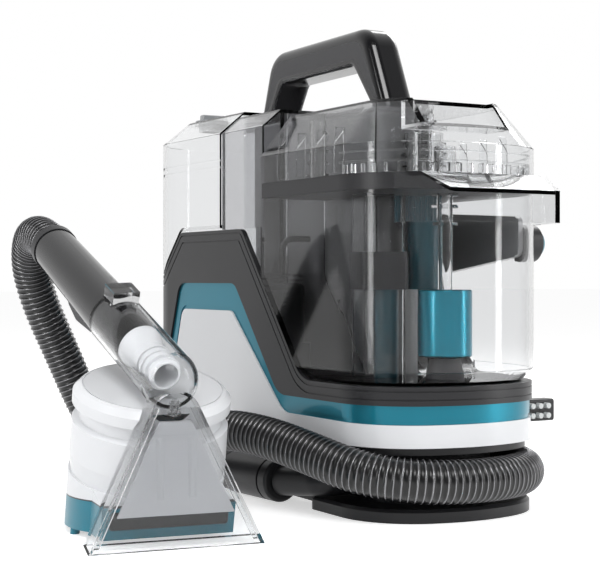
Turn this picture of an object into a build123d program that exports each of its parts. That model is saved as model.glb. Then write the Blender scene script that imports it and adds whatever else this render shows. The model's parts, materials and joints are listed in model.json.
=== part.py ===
"""Portable spot carpet cleaner with its hose and air-driven brush tool.

Millimetres, +Z up. The front of the machine faces -Y and its left side -X. The origin is on the
floor, at the middle of the foot plate. The brush tool stands on the floor beside the left side.
"""
import os
from math import atan2, cos, hypot, pi, radians, sin, tan

from build123d import *

os.makedirs("parts", exist_ok=True)

# ---------------------------------------------------------------- driving dimensions
# Plan of the body: straight sides that close in towards a round nose.
back_half_width = 81.0
front_half_width = 72.0
back_y = 186.0
shoulder_y = -172.0
nose_y = -190.0
back_corner_radius = 48.0
front_corner_radius = 54.0
nose_radius = 112.0

# Heights of the base, from the floor up.
foot_height = 9.0
groove_top = 44.0
skirt_top = 49.0
white_top = 64.0
teal_top = 76.5
rim_top = 89.0
deck_thickness = 5.0
deck_ledge = 20.0

# Base walls.
skin = 3.0
teal_recess = 0.8
teal_step = (3.0, 0.8)
border_lines = (2.5, 8.0)
border_line_width = 1.0
border_line_depth = 0.7
foot_inset = 1.0
foot_cut_depth = 26.0
foot_cut_y = (-88.0, 50.0)
foot_cut_corner = 20.0
foot_bevel = 2.0
foot_tip_radius = 8.0
core_inset = 28.0
core_wall = 3.0
core_back_corner = 78.0
skirt_inset = 4.0
pad_size = (26.0, 14.0)
pad_height = 2.0
pad_spacing = (76.0, 230.0)
grille_z = 124.0
grille_size = (64.0, 34.0)
grille_pitch = 6.0
grille_slots = 5

# Outlines of the side arches, as heights and places along the body.
frame_top = 197.0
frame_back_top = 162.0
frame_top_front_y = 9.0
frame_top_back_y = 114.0
frame_foot_y = -80.0
frame_back_y = 150.0
teal_arch_top = 156.0
teal_arch_y = (20.0, 117.0)
teal_foot_y = (-47.0, 146.0)
white_arch_top = 135.0
white_arch_y = (27.0, 112.0)
white_foot_y = (-52.0, 136.0)
arch_corner = 9.0
arch_foot_radius = 22.0
frame_foot_radius = 26.0
frame_back_radius = 12.0

# Tower between the two tanks, and the spine that carries the handle.
tower_front_y = -22.0
tower_back_y = 42.0
tower_top = 285.0
tower_wall = 2.5
spine_half_width = 20.0
spine_front_y = -92.0
spine_back_y = 104.0
spine_wall = 3.0
spine_corner = 12.0
cover_inset = 0.4
ramp_setback = 1.0
button_radius = 9.0
button_gap = 0.3
button_depth = 5.0
button_rise = 3.0
tank_gap = 2.0
piece_gap = 0.3

# Carrying handle; the gap under its bar is for a hand.
hand_gap = 32.0
handle_width = 28.0
handle_bar = 27.0
handle_top_y = (-66.0, 82.0)
handle_leg = 19.0
handle_corner = 24.0
handle_inner_corner = 8.0
handle_round = 8.0
handle_inner_round = 4.0
inlay_depth = 1.2
inlay_margin = (9.0, 5.0)

# Clean-water tank.
clean_top = 290.0
clean_shoulder = 272.0
clean_wall = 2.5
clean_inset = 3.4
clean_outset = 0.8
pocket_gap = 1.6
line_depth = 1.0
line_heights = (245.0, 250.5)
line_width = 1.5
clean_floor = 152.0
shelf_thickness = 4.0
shoulder_lean = 50.0
cap_radius = 16.0
cap_place = (-36.0, 142.0)
cap_thickness = 3.0
cap_lip = 3.0
cap_depth = 7.0
cap_grip = 5.0
cap_bar_width = 7.0
valve_y = 150.0
valve_radius = 9.0
valve_height = 8.0

# Dirty-water tank, its separator plate and its lid.
dirty_top = 218.0
dirty_wall = 2.5
dirty_outset = 2.0
dirty_foot_step = 9.0
plate_thickness = 11.0
plate_margin = 0.5
ramp_round = 26.0
lid_ring_top = 249.0
lid_top = 280.0
lid_wall = 2.5
lid_lean = 39.0
lid_recess_half_width = 33.0
lid_recess_floor = 262.0
lid_recess_y = -150.0
grip_half_width = 43.5
grip_root_half_width = 59.5
grip_root = 29.0
grip_reach = 26.0
grip_height = 21.0
grip_top = 217.0
grip_root_gap = 0.5

# Fittings inside the dirty-water tank.
duct_place = (-30.0, -110.0)
duct_size = (34.0, 22.0)
duct_wall = 2.0
duct_collar_z = (152.0, 178.0)
collar_wall = 2.0
sleeve_offset = 6.0
sleeve_radius = 8.6
riser_place = (8.5, -109.5)
riser_radius = 11.5
riser_wall = 3.0
riser_bottom = 152.0
riser_ribs_bottom = 200.0
riser_ribs = 16
rib_radius = 1.2
float_place = (3.0, -143.0)
float_radius = 18.5
float_z = (106.0, 152.0)
float_travel = 40.0
float_seat_gap = 1.0
guide_radius = 5.0
guide_wall = 1.5
float_guide_gap = 0.6

# Vacuum motor and fan behind the tower, under the clean-water tank.
motor_place = (0.0, 144.0)
motor_radius = 28.0
motor_height = 38.0
fan_radius = 32.0
fan_height = 10.0
fan_blades = 9
fan_clearance = 1.5
fan_case_height = 18.0
fan_case_wall = 2.0
fan_case_gap = 3.0
shaft_radius = 4.0
shaft_gap = 0.05
shaft_reach = 12.0

# Solution pump in the tower's left bay, circuit board under the deck, and the mains inlet.
pump_place = (-44.0, 5.0)
pump_radius = 17.0
pump_z = (110.0, 155.0)
pump_tube_radius = 2.5
pump_tube_top = 190.0
board_size = (70.0, 50.0)
board_post_radius = 2.5
board_post_margin = 4.0
chip_size = (14.0, 20.0)
chip_places = ((-12.0, 0.0), (14.0, 6.0))
chip_height = 8.0
board_thickness = 1.6
board_drop = 12.0
board_y = 20.0
inlet_x = 24.0
inlet_radius = 6.0
inlet_length = 16.0

# Arm with its knob along the dirty tank's right side, and the brush parked below it.
arm_gap = 1.0
arm_thickness = 6.0
arm_y = (-133.0, 8.0)
arm_z = (164.0, 210.0)
arm_root = 20.0
arm_step = 8.0
arm_neck = (30.0, 46.0, 40.0)
arm_tip_rise = 12.0
arm_fall = 6.0
knob_place = (-126.0, 185.0)
knob_radius = 13.5
knob_depth = 11.0
brush_y = (-131.0, -119.0)
brush_z = (56.0, 72.0)
holder_reach = 4.5
peg_radius = 3.0
peg_length = 14.0
brush_length = 32.0
tuft_pitch = 7.0
tuft_radius = 2.0
tuft_length = 4.5

# Hose, its cuffs and its port in the machine.
core_port_reach = 41.5
port_knee = (-70.0, -106.0, 21.2)
port_bend = 12.0
port_radius = 10.5
cuff_groove = 2.0
cuff_groove_place = 9.0
hose_radius = 14.5
cuff_radius = 15.5
cuff_start = (-82.0, -65.7, 17.2)
hose_route = [
    (-88.0, -8.0, 17.5),
    (-93.2, 41.7, 17.8),
    (-90.0, 98.0, 21.0),
    (-79.0, 152.0, 26.0),
    (-46.0, 186.0, 27.0),
    (3.0, 189.0, 27.0),
    (52.0, 184.0, 27.0),
    (79.0, 150.0, 27.0),
    (82.0, 94.0, 27.0),
    (79.5, 34.0, 27.0),
    (78.0, -26.0, 27.0),
    (75.5, -84.0, 27.0),
    (72.0, -138.0, 27.0),
    (45.0, -178.0, 27.0),
    (1.0, -192.0, 27.0),
    (-45.0, -186.0, 28.0),
    (-76.0, -158.0, 33.0),
    (-90.0, -118.0, 43.0),
    (-103.0, -78.0, 51.0),
    (-115.0, -38.0, 53.0),
    (-123.0, 2.0, 41.0),
    (-128.0, 42.0, 22.0),
    (-134.0, 80.0, 15.5),
    (-146.0, 108.0, 28.0),
    (-163.0, 117.0, 62.0),
    (-181.0, 119.0, 104.0),
    (-199.0, 115.0, 140.0),
    (-209.0, 109.0, 168.0),
    (-214.5, 89.0, 190.0),
    (-214.6, 65.0, 193.4),
    (-214.1, 40.8, 183.2),
]

# Brush tool: where its lip stands, how it is turned, and how far its head leans forward.
tool_origin = (-213.0, -180.5, 0.0)
tool_yaw = -7.5
tool_lean = 16.0
lip_width = 108.0
apex_width = 28.0
apex_rise = 8.0
nozzle_length = 92.0
nozzle_thickness = 14.5
lip_floor = 0.3
nozzle_wall = 2.2
nozzle_slope = (28.0, 80.0)
head_front_y = 31.0
head_radius = 49.0
head_floor = 17.5
head_wall = 2.5
head_flare = 0.5
groove_depth = 4.0
groove_z = (53.0, 60.0)
rotor_radius = 36.0
rotor_shaft_radius = 3.0
rotor_z = (24.0, 48.0)
rotor_blades = 12
cover_top = 73.5
cover_line = (5.0, 1.0, 0.8)
flare_height = 12.0
skirt_clearance = 4.0
skirt_outset = 0.3
skirt_half_width = 41.0
skirt_front = 23.0
skirt_wall = 2.5
window_size = (74.0, 12.0)
window_z = 9.5
roll_radius = 9.0
roll_half_length = 35.0
roll_place = 46.0
bristle_rows = 8
bristle_tufts = 12
bristle_length = 4.0
bristle_radius = 1.3
floor_gap = 0.5
glide_angles = (-10.0, 60.0, 120.0, 190.0)
glide_radius = 3.0
glide_inset = 3.2
plate_slot = (5.0, 34.0)
plate_z = (18.0, 70.0)
plate_inset = 8.0
plate_setback = 3.0
plate_sheet = 1.2
neck_start = (48.0, 89.2)
neck_yaw = 8.0
neck_radius = 18.0
neck_wall = 2.0
handle_rise = 7.0
neck_length = 90.0
grip_length = 217.0
grip_front_radius = 17.6
grip_back_radius = 16.0
grip_waist = (142.0, 16.8)
grip_scoop = 28.0
scoop_foot = 4.0
grip_wall = 2.5
cuff_length = 8.0
tube_from = 4.0
tube_to = 44.0
tube_radius = 10.5
tube_bore = 8.0
tube_bevel = 1.5
tube_rings = (9.0, 15.0, 21.0)
ring_size = (1.6, 1.2)
flare_from = 30.0
flare_radius = 14.5
flare_land = 3.0
trigger_span = (110.0, 158.0)
trigger_belly = 0.62
trigger_width = 14.0
pin_radius = 1.5
pin_reach = 2.3
pin_place = (3.0, 5.0)
latch_place = 84.0
latch_size = (16.0, 18.0, 8.0)


def save(piece, label):
    """Label a finished piece and write it as the STEP file of its node."""
    piece.part.label = label
    export_step(piece.part, f"parts/{label}.step")


# ---------------------------------------------------------------- shared sketches
def footprint(inset=0.0, back_corner=back_corner_radius):
    """Plan of the body moved in by inset; a negative inset moves it out."""
    with BuildSketch() as plan:
        with BuildLine():
            FilletPolyline(
                (-back_half_width, back_y),
                (back_half_width, back_y),
                (front_half_width, shoulder_y),
                (0, nose_y),
                (-front_half_width, shoulder_y),
                radius=[back_corner, back_corner, front_corner_radius, nose_radius, front_corner_radius],
                close=True,
            )
        make_face()
        if inset:
            offset(amount=-inset)
    return plan.sketch


def part_of_footprint(inset, y_from, y_to):
    """The stretch of the body's plan between two places along its length."""
    width = 4 * back_half_width
    with BuildSketch() as stretch:
        add(footprint(inset))
        with Locations((0, (y_from + y_to) / 2)):
            Rectangle(width, y_to - y_from, mode=Mode.INTERSECT)
    return stretch.sketch


def side_profile(points, radii):
    """A closed outline on the machine's side view, with one radius for each corner."""
    with BuildSketch() as profile:
        with BuildLine():
            FilletPolyline(*points, radius=radii, close=True)
        make_face()
    return profile.sketch


def outline(points):
    """A closed outline with sharp corners."""
    return side_profile(points, [0] * len(points))


def arch_outline(bottom, shoulder, top, top_y, foot_y, corner, foot_radius):
    """A band with an arch on it: a strip from bottom to shoulder that rises to top between two feet."""
    reach = 2 * back_y
    points = [
        (-reach, bottom),
        (-reach, shoulder),
        (foot_y[0], shoulder),
        (top_y[0], top),
        (top_y[1], top),
        (foot_y[1], shoulder),
        (reach, shoulder),
        (reach, bottom),
    ]
    return side_profile(points, [0, 0, foot_radius, corner, corner, foot_radius, 0, 0])


through = 4 * back_half_width
side_view = Plane.YZ.offset(-through / 2)
teal_outline = arch_outline(
    white_top - 1, teal_top, teal_arch_top, teal_arch_y, teal_foot_y, arch_corner + 4, arch_foot_radius
)
white_outline = arch_outline(
    skirt_top - 1, white_top, white_arch_top, white_arch_y, white_foot_y, arch_corner, arch_foot_radius
)

# ---------------------------------------------------------------- base
with BuildPart() as foot_plate:
    with BuildSketch():
        add(footprint(foot_inset, back_corner=core_back_corner))
        with Locations((-back_half_width, (foot_cut_y[0] + foot_cut_y[1]) / 2)):
            RectangleRounded(
                2 * foot_cut_depth, foot_cut_y[1] - foot_cut_y[0], foot_cut_corner, mode=Mode.SUBTRACT
            )
    extrude(amount=foot_height)
    left_edges = foot_plate.edges().filter_by(Axis.Z).filter_by_position(
        Axis.X, -back_half_width, -front_half_width + foot_inset
    )
    fillet(left_edges.filter_by_position(Axis.Y, foot_cut_y[0] - 1, foot_cut_y[1] + 1), foot_tip_radius)
    chamfer(foot_plate.edges().group_by(Axis.Z)[-1], foot_bevel)
    with BuildSketch():
        with GridLocations(*pad_spacing, 2, 2):
            Rectangle(*pad_size)
    extrude(amount=pad_height, mode=Mode.SUBTRACT)
save(foot_plate, "foot_plate")

with BuildPart() as foot_pads:
    with BuildSketch():
        with GridLocations(*pad_spacing, 2, 2):
            Rectangle(*pad_size)
    extrude(amount=pad_height)
save(foot_pads, "foot_pads")

with BuildPart() as base_core:
    with BuildSketch(Plane.XY.offset(foot_height)):
        add(footprint(core_inset, back_corner=core_back_corner))
        add(footprint(core_inset + core_wall, back_corner=core_back_corner), mode=Mode.SUBTRACT)
    extrude(amount=groove_top - foot_height)
    with BuildSketch(Plane.XY.offset(groove_top)):
        add(footprint(skirt_inset))
        add(footprint(core_inset + core_wall, back_corner=core_back_corner), mode=Mode.SUBTRACT)
    extrude(amount=skirt_top - groove_top)
    with BuildSketch(Plane.YZ):
        with Locations(port_knee[1:]):
            Circle(port_radius)
    extrude(amount=-2 * back_half_width, mode=Mode.SUBTRACT)
save(base_core, "base_core")


def skin_ring(outer_inset):
    """Plan of the body's wall, as thick as the skin."""
    with BuildSketch() as ring:
        add(footprint(outer_inset))
        add(footprint(skin), mode=Mode.SUBTRACT)
    return ring.sketch


def surface_cut(profile, distance, width, floor_inset):
    """A band within a side outline moved out by distance, as deep as the plan moved in by floor_inset."""
    with BuildPart() as cut:
        with BuildSketch(side_view):
            add(profile)
            offset(amount=distance)
            if width < through:
                offset(profile, amount=distance - width, mode=Mode.SUBTRACT)
        extrude(amount=through)
        with BuildSketch():
            add(footprint(floor_inset))
        extrude(amount=2 * frame_top, mode=Mode.SUBTRACT)
    return cut.part


with BuildPart() as lower_shell:
    with BuildSketch(Plane.XY.offset(skirt_top)):
        add(skin_ring(0))
    extrude(amount=white_arch_top + 1 - skirt_top)
    with BuildSketch(side_view):
        add(white_outline)
    extrude(amount=through, mode=Mode.INTERSECT)
save(lower_shell, "lower_shell")

with BuildPart() as teal_band:
    with BuildSketch(Plane.XY.offset(white_top)):
        add(skin_ring(teal_recess))
    extrude(amount=teal_arch_top + 1 - white_top)
    with BuildSketch(side_view):
        add(teal_outline)
    extrude(amount=through, mode=Mode.INTERSECT)
    with BuildSketch(side_view):
        add(white_outline)
    extrude(amount=through, mode=Mode.SUBTRACT)
    add(surface_cut(white_outline, teal_step[0], through, teal_recess + teal_step[1]), mode=Mode.SUBTRACT)
save(teal_band, "teal_band")


def frame_profile(bottom):
    """Side view of the frame: a rim along the front and an arch that steps down at the back."""
    points = [
        (-2 * back_y, bottom),
        (-2 * back_y, rim_top),
        (frame_foot_y, rim_top),
        (frame_top_front_y, frame_top),
        (frame_top_back_y, frame_top),
        (frame_back_y, frame_back_top),
        (2 * back_y, frame_back_top),
        (2 * back_y, bottom),
    ]
    return side_profile(points, [0, 0, frame_foot_radius, arch_corner, arch_corner, frame_back_radius, 0, 0])


frame_outline = frame_profile(teal_top - 1)
with BuildPart() as side_frame:
    with BuildSketch(Plane.XY.offset(teal_top)):
        add(skin_ring(-teal_recess))
    extrude(amount=frame_top + 1 - teal_top)
    with BuildSketch(side_view):
        add(frame_outline)
    extrude(amount=through, mode=Mode.INTERSECT)
    with BuildSketch(side_view):
        add(teal_outline)
    extrude(amount=through, mode=Mode.SUBTRACT)
    with BuildSketch(Plane.XZ.offset(-back_y - 2 * skin)):
        with Locations((0, grille_z)):
            Rectangle(*grille_size)
    extrude(amount=4 * skin, mode=Mode.SUBTRACT)
    for distance in border_lines:
        add(
            surface_cut(frame_profile(0), -distance, border_line_width, border_line_depth - teal_recess),
            mode=Mode.SUBTRACT,
        )
save(side_frame, "side_frame")

deck_z = rim_top - deck_thickness
deck_opening = (2 * (spine_half_width - spine_wall), spine_back_y - spine_front_y - 2 * deck_ledge)
with BuildPart() as deck:
    with BuildSketch(Plane.XY.offset(deck_z)):
        add(footprint(skin))
        with Locations((0, (spine_front_y + spine_back_y) / 2)):
            Rectangle(*deck_opening, mode=Mode.SUBTRACT)
    extrude(amount=deck_thickness)
save(deck, "deck")


# ---------------------------------------------------------------- tower and handle
spine_length = spine_back_y - spine_front_y
spine_middle_y = (spine_back_y + spine_front_y) / 2
with BuildPart() as spine_housing:
    with BuildSketch(Plane.XY.offset(rim_top)):
        with Locations((0, spine_middle_y)):
            RectangleRounded(2 * spine_half_width, spine_length, spine_corner)
    extrude(amount=tower_top - rim_top)
    fillet(spine_housing.edges().group_by(Axis.Z)[-1], spine_wall)
    with BuildSketch(Plane.XY.offset(rim_top)):
        with Locations((0, spine_middle_y)):
            RectangleRounded(
                2 * (spine_half_width - spine_wall), spine_length - 2 * spine_wall, spine_corner - spine_wall
            )
    extrude(amount=tower_top - spine_wall - rim_top, mode=Mode.SUBTRACT)
    with BuildSketch(Plane.XY.offset(tower_top)):
        Circle(button_radius + button_gap)
    extrude(amount=-2 * spine_wall, mode=Mode.SUBTRACT)
save(spine_housing, "spine_housing")

# The frame's front leg is a ramp; the tower cover follows it inside and the dirty tank rests before it.
ramp_angle = atan2(frame_top - rim_top, frame_top_front_y - frame_foot_y)


def ramp_foot(forward):
    """Where the ramp meets the rim's height when it is moved squarely forward by that much."""
    return frame_foot_y - forward / sin(ramp_angle)


def cover_body(inset):
    """Bulk of the tower covers: a block across the body with a ramp at its foot and bevelled shoulders."""
    foot_y = ramp_foot(-ramp_setback - inset)
    front_y = tower_front_y + inset
    back_y_here = tower_back_y - inset
    crossing = rim_top + (front_y - foot_y) * tan(ramp_angle)
    with BuildPart() as body:
        with BuildSketch(Plane.XY.offset(rim_top)):
            add(footprint(cover_inset + inset))
        extrude(amount=clean_shoulder - rim_top)
        with BuildSketch(Plane.XY.offset(clean_shoulder)):
            add(footprint(cover_inset + inset))
        extrude(amount=tower_top - inset - clean_shoulder, taper=shoulder_lean)
        with BuildSketch(side_view):
            add(
                outline(
                    [
                        (back_y_here, rim_top),
                        (foot_y, rim_top),
                        (front_y, crossing),
                        (front_y, tower_top),
                        (back_y_here, tower_top),
                    ]
                )
            )
        extrude(amount=through, mode=Mode.INTERSECT)
    return body.part


def tower_cover(side):
    """The smoky cover on one side of the spine; side is -1 for the left and 1 for the right."""
    with BuildPart() as cover:
        add(cover_body(0))
        add(cover_body(tower_wall), mode=Mode.SUBTRACT)
        with BuildSketch(Plane.XY.offset(rim_top)):
            Rectangle(2 * (spine_half_width + piece_gap), through)
        extrude(amount=tower_top, mode=Mode.SUBTRACT)
        with BuildSketch(Plane.XY.offset(rim_top)):
            Rectangle(through, through)
            add(footprint(skin + piece_gap), mode=Mode.SUBTRACT)
        extrude(amount=frame_top - rim_top + piece_gap, mode=Mode.SUBTRACT)
        split(bisect_by=Plane.YZ, keep=Keep.TOP if side > 0 else Keep.BOTTOM)
    return cover


tower_cover_left = tower_cover(-1)
save(tower_cover_left, "tower_cover_left")
tower_cover_right = tower_cover(1)
save(tower_cover_right, "tower_cover_right")


handle_top = tower_top + hand_gap + handle_bar


def handle_block(margin, foot):
    """Outer outline of the handle on its side view, drawn in by margin and cut off at a foot height."""
    points = [
        (spine_back_y - margin, foot),
        (handle_top_y[1] - margin, handle_top - margin),
        (handle_top_y[0] + margin, handle_top - margin),
        (spine_front_y + margin, foot),
    ]
    return side_profile(points, [0, handle_corner - margin, handle_corner - margin, 0])


def handle_opening(margin, foot):
    """Outline of the hand's opening, grown by margin and cut off at a foot height."""
    points = [
        (spine_back_y - handle_leg + margin, foot),
        (handle_top_y[1] - handle_leg + margin, tower_top + hand_gap + margin),
        (handle_top_y[0] + handle_leg - margin, tower_top + hand_gap + margin),
        (spine_front_y + handle_leg - margin, foot),
    ]
    return side_profile(points, [0, handle_inner_corner + margin, handle_inner_corner + margin, 0])


def inlay_outline():
    """Outline of the flat inlay on each side of the handle."""
    foot = tower_top + inlay_margin[1]
    with BuildSketch() as inlay:
        add(handle_block(inlay_margin[0], foot))
        add(handle_opening(inlay_margin[1], foot), mode=Mode.SUBTRACT)
    return inlay.sketch


def is_above_tower(edge):
    """True for an edge of the handle that doesn't lie on the tower."""
    return edge.center().Z > tower_top + 1


with BuildPart() as carry_handle:
    with BuildSketch(Plane.YZ):
        add(handle_block(0, tower_top))
    extrude(amount=handle_width / 2, both=True)
    outer_edges = carry_handle.edges().group_by(Axis.X)[0] + carry_handle.edges().group_by(Axis.X)[-1]
    fillet(outer_edges.filter_by(is_above_tower), handle_round)
    with BuildSketch(Plane.YZ):
        add(handle_opening(0, tower_top))
    extrude(amount=handle_width, both=True, mode=Mode.SUBTRACT)
    opening_edges = carry_handle.edges(Select.LAST)
    inner_edges = opening_edges.group_by(Axis.X)[0] + opening_edges.group_by(Axis.X)[-1]
    fillet(inner_edges.filter_by(is_above_tower), handle_inner_round)
    for side in (-1, 1):
        with BuildSketch(Plane.YZ.offset(side * handle_width / 2)):
            add(inlay_outline())
        extrude(amount=-side * inlay_depth, mode=Mode.SUBTRACT)
save(carry_handle, "carry_handle")

with BuildPart() as handle_inlays:
    for side in (-1, 1):
        with BuildSketch(Plane.YZ.offset(side * handle_width / 2)):
            add(inlay_outline())
        extrude(amount=-side * inlay_depth)
save(handle_inlays, "handle_inlays")

with BuildPart() as power_button:
    with BuildSketch(Plane.XY.offset(tower_top - button_depth)):
        Circle(button_radius)
    extrude(amount=button_depth + button_rise)
    chamfer(power_button.edges().group_by(Axis.Z)[-1], 1)
    with BuildSketch(Plane.XY.offset(tower_top - button_depth)):
        Circle(button_radius + 2)
    extrude(amount=-2)
save(power_button, "power_button")

# ---------------------------------------------------------------- clean-water tank
clean_front_y = tower_back_y + tank_gap
slot_back_y = spine_back_y + tank_gap
slot_half_width = spine_half_width + tank_gap


def clean_body(inset):
    """Bulk of the clean-water tank: flush with the frame, stepped in behind it, with a slot for the spine."""
    with BuildPart() as body:
        with BuildSketch(Plane.XY.offset(clean_floor + inset)):
            add(footprint(inset - clean_outset))
        extrude(amount=clean_shoulder - clean_floor - inset)
        with BuildSketch(Plane.XY.offset(clean_shoulder)):
            add(footprint(inset - clean_outset))
        extrude(amount=clean_top - inset - clean_shoulder, taper=shoulder_lean)
        add(surface_cut(frame_profile(0), pocket_gap + inset, through, clean_inset + inset), mode=Mode.SUBTRACT)
        with BuildSketch(Plane.XY.offset(clean_floor)):
            with Locations((0, clean_front_y + inset)):
                Rectangle(through, 2 * through, align=(Align.CENTER, Align.MAX))
            with Locations((0, slot_back_y + inset)):
                Rectangle(2 * (slot_half_width + inset), through, align=(Align.CENTER, Align.MAX))
        extrude(amount=clean_top - clean_floor, mode=Mode.SUBTRACT)
    return body.part


with BuildPart() as tank_shelf:
    with BuildSketch(Plane.XY.offset(clean_floor - shelf_thickness)):
        add(part_of_footprint(skin, clean_front_y, 2 * back_y))
        with Locations((0, slot_back_y)):
            Rectangle(2 * slot_half_width, through, align=(Align.CENTER, Align.MAX), mode=Mode.SUBTRACT)
    extrude(amount=shelf_thickness)
save(tank_shelf, "tank_shelf")

with BuildPart() as clean_tank:
    add(clean_body(0))
    add(clean_body(clean_wall), mode=Mode.SUBTRACT)
    with BuildSketch(Plane.XY.offset(clean_top)):
        with Locations(cap_place):
            Circle(cap_radius - cap_lip)
    extrude(amount=-2 * clean_wall, mode=Mode.SUBTRACT)
    with BuildSketch(Plane.XY.offset(clean_floor)):
        with Locations((0, valve_y)):
            Circle(valve_radius)
    extrude(amount=clean_wall, mode=Mode.SUBTRACT)
    for height in line_heights:
        with BuildSketch(Plane.XY.offset(height)):
            Rectangle(through, through)
            add(footprint(line_depth - clean_outset), mode=Mode.SUBTRACT)
        extrude(amount=line_width, mode=Mode.SUBTRACT)
save(clean_tank, "clean_tank")

with BuildPart() as filler_cap:
    with BuildSketch(Plane.XY.offset(clean_top)):
        with Locations(cap_place):
            Circle(cap_radius)
    extrude(amount=cap_thickness)
    with BuildSketch(Plane.XY.offset(clean_top + cap_thickness)):
        with Locations(cap_place):
            RectangleRounded(2 * cap_radius - cap_bar_width, cap_bar_width, 2)
    extrude(amount=cap_grip)
    chamfer(filler_cap.edges().group_by(Axis.Z)[-1], 0.8)
    with BuildSketch(Plane.XY.offset(clean_top)):
        with Locations(cap_place):
            Circle(cap_radius - cap_lip - piece_gap)
            Circle(cap_radius - 2 * cap_lip, mode=Mode.SUBTRACT)
    extrude(amount=-cap_depth)
save(filler_cap, "filler_cap")

with BuildPart() as tank_valve:
    with BuildSketch(Plane.XY.offset(clean_floor)):
        with Locations((0, valve_y)):
            Circle(valve_radius)
    extrude(amount=clean_wall)
    with BuildSketch(Plane.XY.offset(clean_floor + clean_wall)):
        with Locations((0, valve_y)):
            Circle(valve_radius + 4)
            Circle(valve_radius - 4, mode=Mode.SUBTRACT)
    extrude(amount=valve_height)
save(tank_valve, "tank_valve")

# ---------------------------------------------------------------- dirty-water tank
dirty_back_y = tower_front_y - tank_gap
slot_front_y = spine_front_y - tank_gap
tank_foot_top = rim_top + dirty_foot_step
plate_top = dirty_top + plate_thickness


def slot_plan(inset):
    """Plan of what the dirty side leaves free: the tower behind it and a slot round the spine."""
    with BuildSketch() as plan:
        with Locations((0, dirty_back_y - inset)):
            Rectangle(through, 2 * through, align=(Align.CENTER, Align.MIN))
        with Locations((0, slot_front_y - inset)):
            Rectangle(2 * (slot_half_width + inset), through, align=(Align.CENTER, Align.MIN))
    return plan.sketch


def dirty_plan(inset):
    """Plan of the dirty-water tank: the nose of the body less the slot for the spine."""
    with BuildSketch() as plan:
        add(footprint(inset - dirty_outset))
        add(slot_plan(inset), mode=Mode.SUBTRACT)
    return plan.sketch


def dirty_body(inset):
    """Bulk of the dirty-water tank: a bevelled foot, upright walls, and the ramp at its back."""
    foot_y = ramp_foot(tank_gap + inset)
    reach = 2 * (dirty_top - rim_top)
    ramp = [
        (2 * nose_y, rim_top + inset),
        (foot_y, rim_top + inset),
        (foot_y + reach / tan(ramp_angle), rim_top + inset + reach),
        (2 * nose_y, rim_top + inset + reach),
    ]
    with BuildPart() as body:
        with BuildSketch(Plane.XY.offset(tank_foot_top)):
            add(footprint(inset - dirty_outset))
        extrude(amount=dirty_top - tank_foot_top)
        with BuildSketch(Plane.XY.offset(tank_foot_top)):
            add(footprint(inset - dirty_outset))
        extrude(amount=inset - dirty_foot_step, taper=45)
        with BuildSketch(Plane.XY.offset(rim_top)):
            add(slot_plan(inset))
        extrude(amount=dirty_top - rim_top, mode=Mode.SUBTRACT)
        with BuildSketch(side_view):
            add(side_profile(ramp, [0, ramp_round, 0, 0]))
        extrude(amount=through, mode=Mode.INTERSECT)
    return body.part


lip_root_z = plate_top - grip_root_gap


def lip_body(inset):
    """Bulk of the pouring lip on the tank's front: a tapered box whose top slopes down outwards."""
    front_y = nose_y - grip_reach + inset
    root_y = nose_y + grip_root
    with BuildPart() as body:
        with BuildSketch(Plane.XY.offset(grip_top - grip_height - inset)):
            add(
                outline(
                    [
                        (inset - grip_root_half_width, root_y),
                        (inset - grip_half_width, front_y),
                        (grip_half_width - inset, front_y),
                        (grip_root_half_width - inset, root_y),
                    ]
                )
            )
        extrude(amount=plate_top - grip_top + grip_height)
        with BuildSketch(side_view):
            add(
                outline(
                    [
                        (front_y, grip_top - grip_height - inset),
                        (front_y, grip_top - inset),
                        (nose_y - dirty_outset, lip_root_z - inset),
                        (root_y, lip_root_z - inset),
                        (root_y, grip_top - grip_height - inset),
                    ]
                )
            )
        extrude(amount=through, mode=Mode.INTERSECT)
    return body.part


with BuildPart() as dirty_tank:
    add(lip_body(0))
    add(lip_body(dirty_wall), mode=Mode.SUBTRACT)
    with BuildSketch(Plane.XY.offset(dirty_top)):
        add(footprint(-dirty_outset))
    extrude(amount=plate_thickness, mode=Mode.SUBTRACT)
    add(dirty_body(0))
    add(dirty_body(dirty_wall), mode=Mode.SUBTRACT)
    with BuildSketch(Plane.XY.offset(dirty_top)):
        add(dirty_plan(dirty_wall))
    extrude(amount=-2 * dirty_wall, mode=Mode.SUBTRACT)
save(dirty_tank, "dirty_tank")

with BuildPart() as separator_plate:
    with BuildSketch(Plane.XY.offset(dirty_top)):
        add(dirty_plan(plate_margin))
    extrude(amount=plate_thickness)
    with BuildSketch(Plane.XY.offset(dirty_top)):
        with Locations(duct_place):
            Rectangle(duct_size[0] - 2 * duct_wall, duct_size[1] - 2 * duct_wall)
        with Locations(riser_place):
            Circle(riser_radius - riser_wall)
    extrude(amount=plate_thickness, mode=Mode.SUBTRACT)
save(separator_plate, "separator_plate")


def lid_body(inset):
    """Bulk of the tank's lid: an upright ring, a leaning collar above it and a flat top."""
    with BuildPart() as body:
        with BuildSketch(Plane.XY.offset(plate_top)):
            add(footprint(inset - dirty_outset))
        extrude(amount=lid_ring_top - plate_top)
        with BuildSketch(Plane.XY.offset(lid_ring_top)):
            add(footprint(inset - dirty_outset))
        extrude(amount=lid_top - inset - lid_ring_top, taper=lid_lean)
        with BuildSketch(Plane.XY.offset(plate_top)):
            add(slot_plan(inset))
        extrude(amount=lid_top - plate_top, mode=Mode.SUBTRACT)
        with BuildSketch(Plane.XY.offset(lid_recess_floor - inset)):
            with Locations((0, lid_recess_y + inset)):
                Rectangle(2 * (lid_recess_half_width + inset), through, align=(Align.CENTER, Align.MAX))
        extrude(amount=lid_top - lid_recess_floor + inset, mode=Mode.SUBTRACT)
    return body.part


with BuildPart() as tank_lid:
    add(lid_body(0))
    add(lid_body(lid_wall), mode=Mode.SUBTRACT)
save(tank_lid, "tank_lid")

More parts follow.
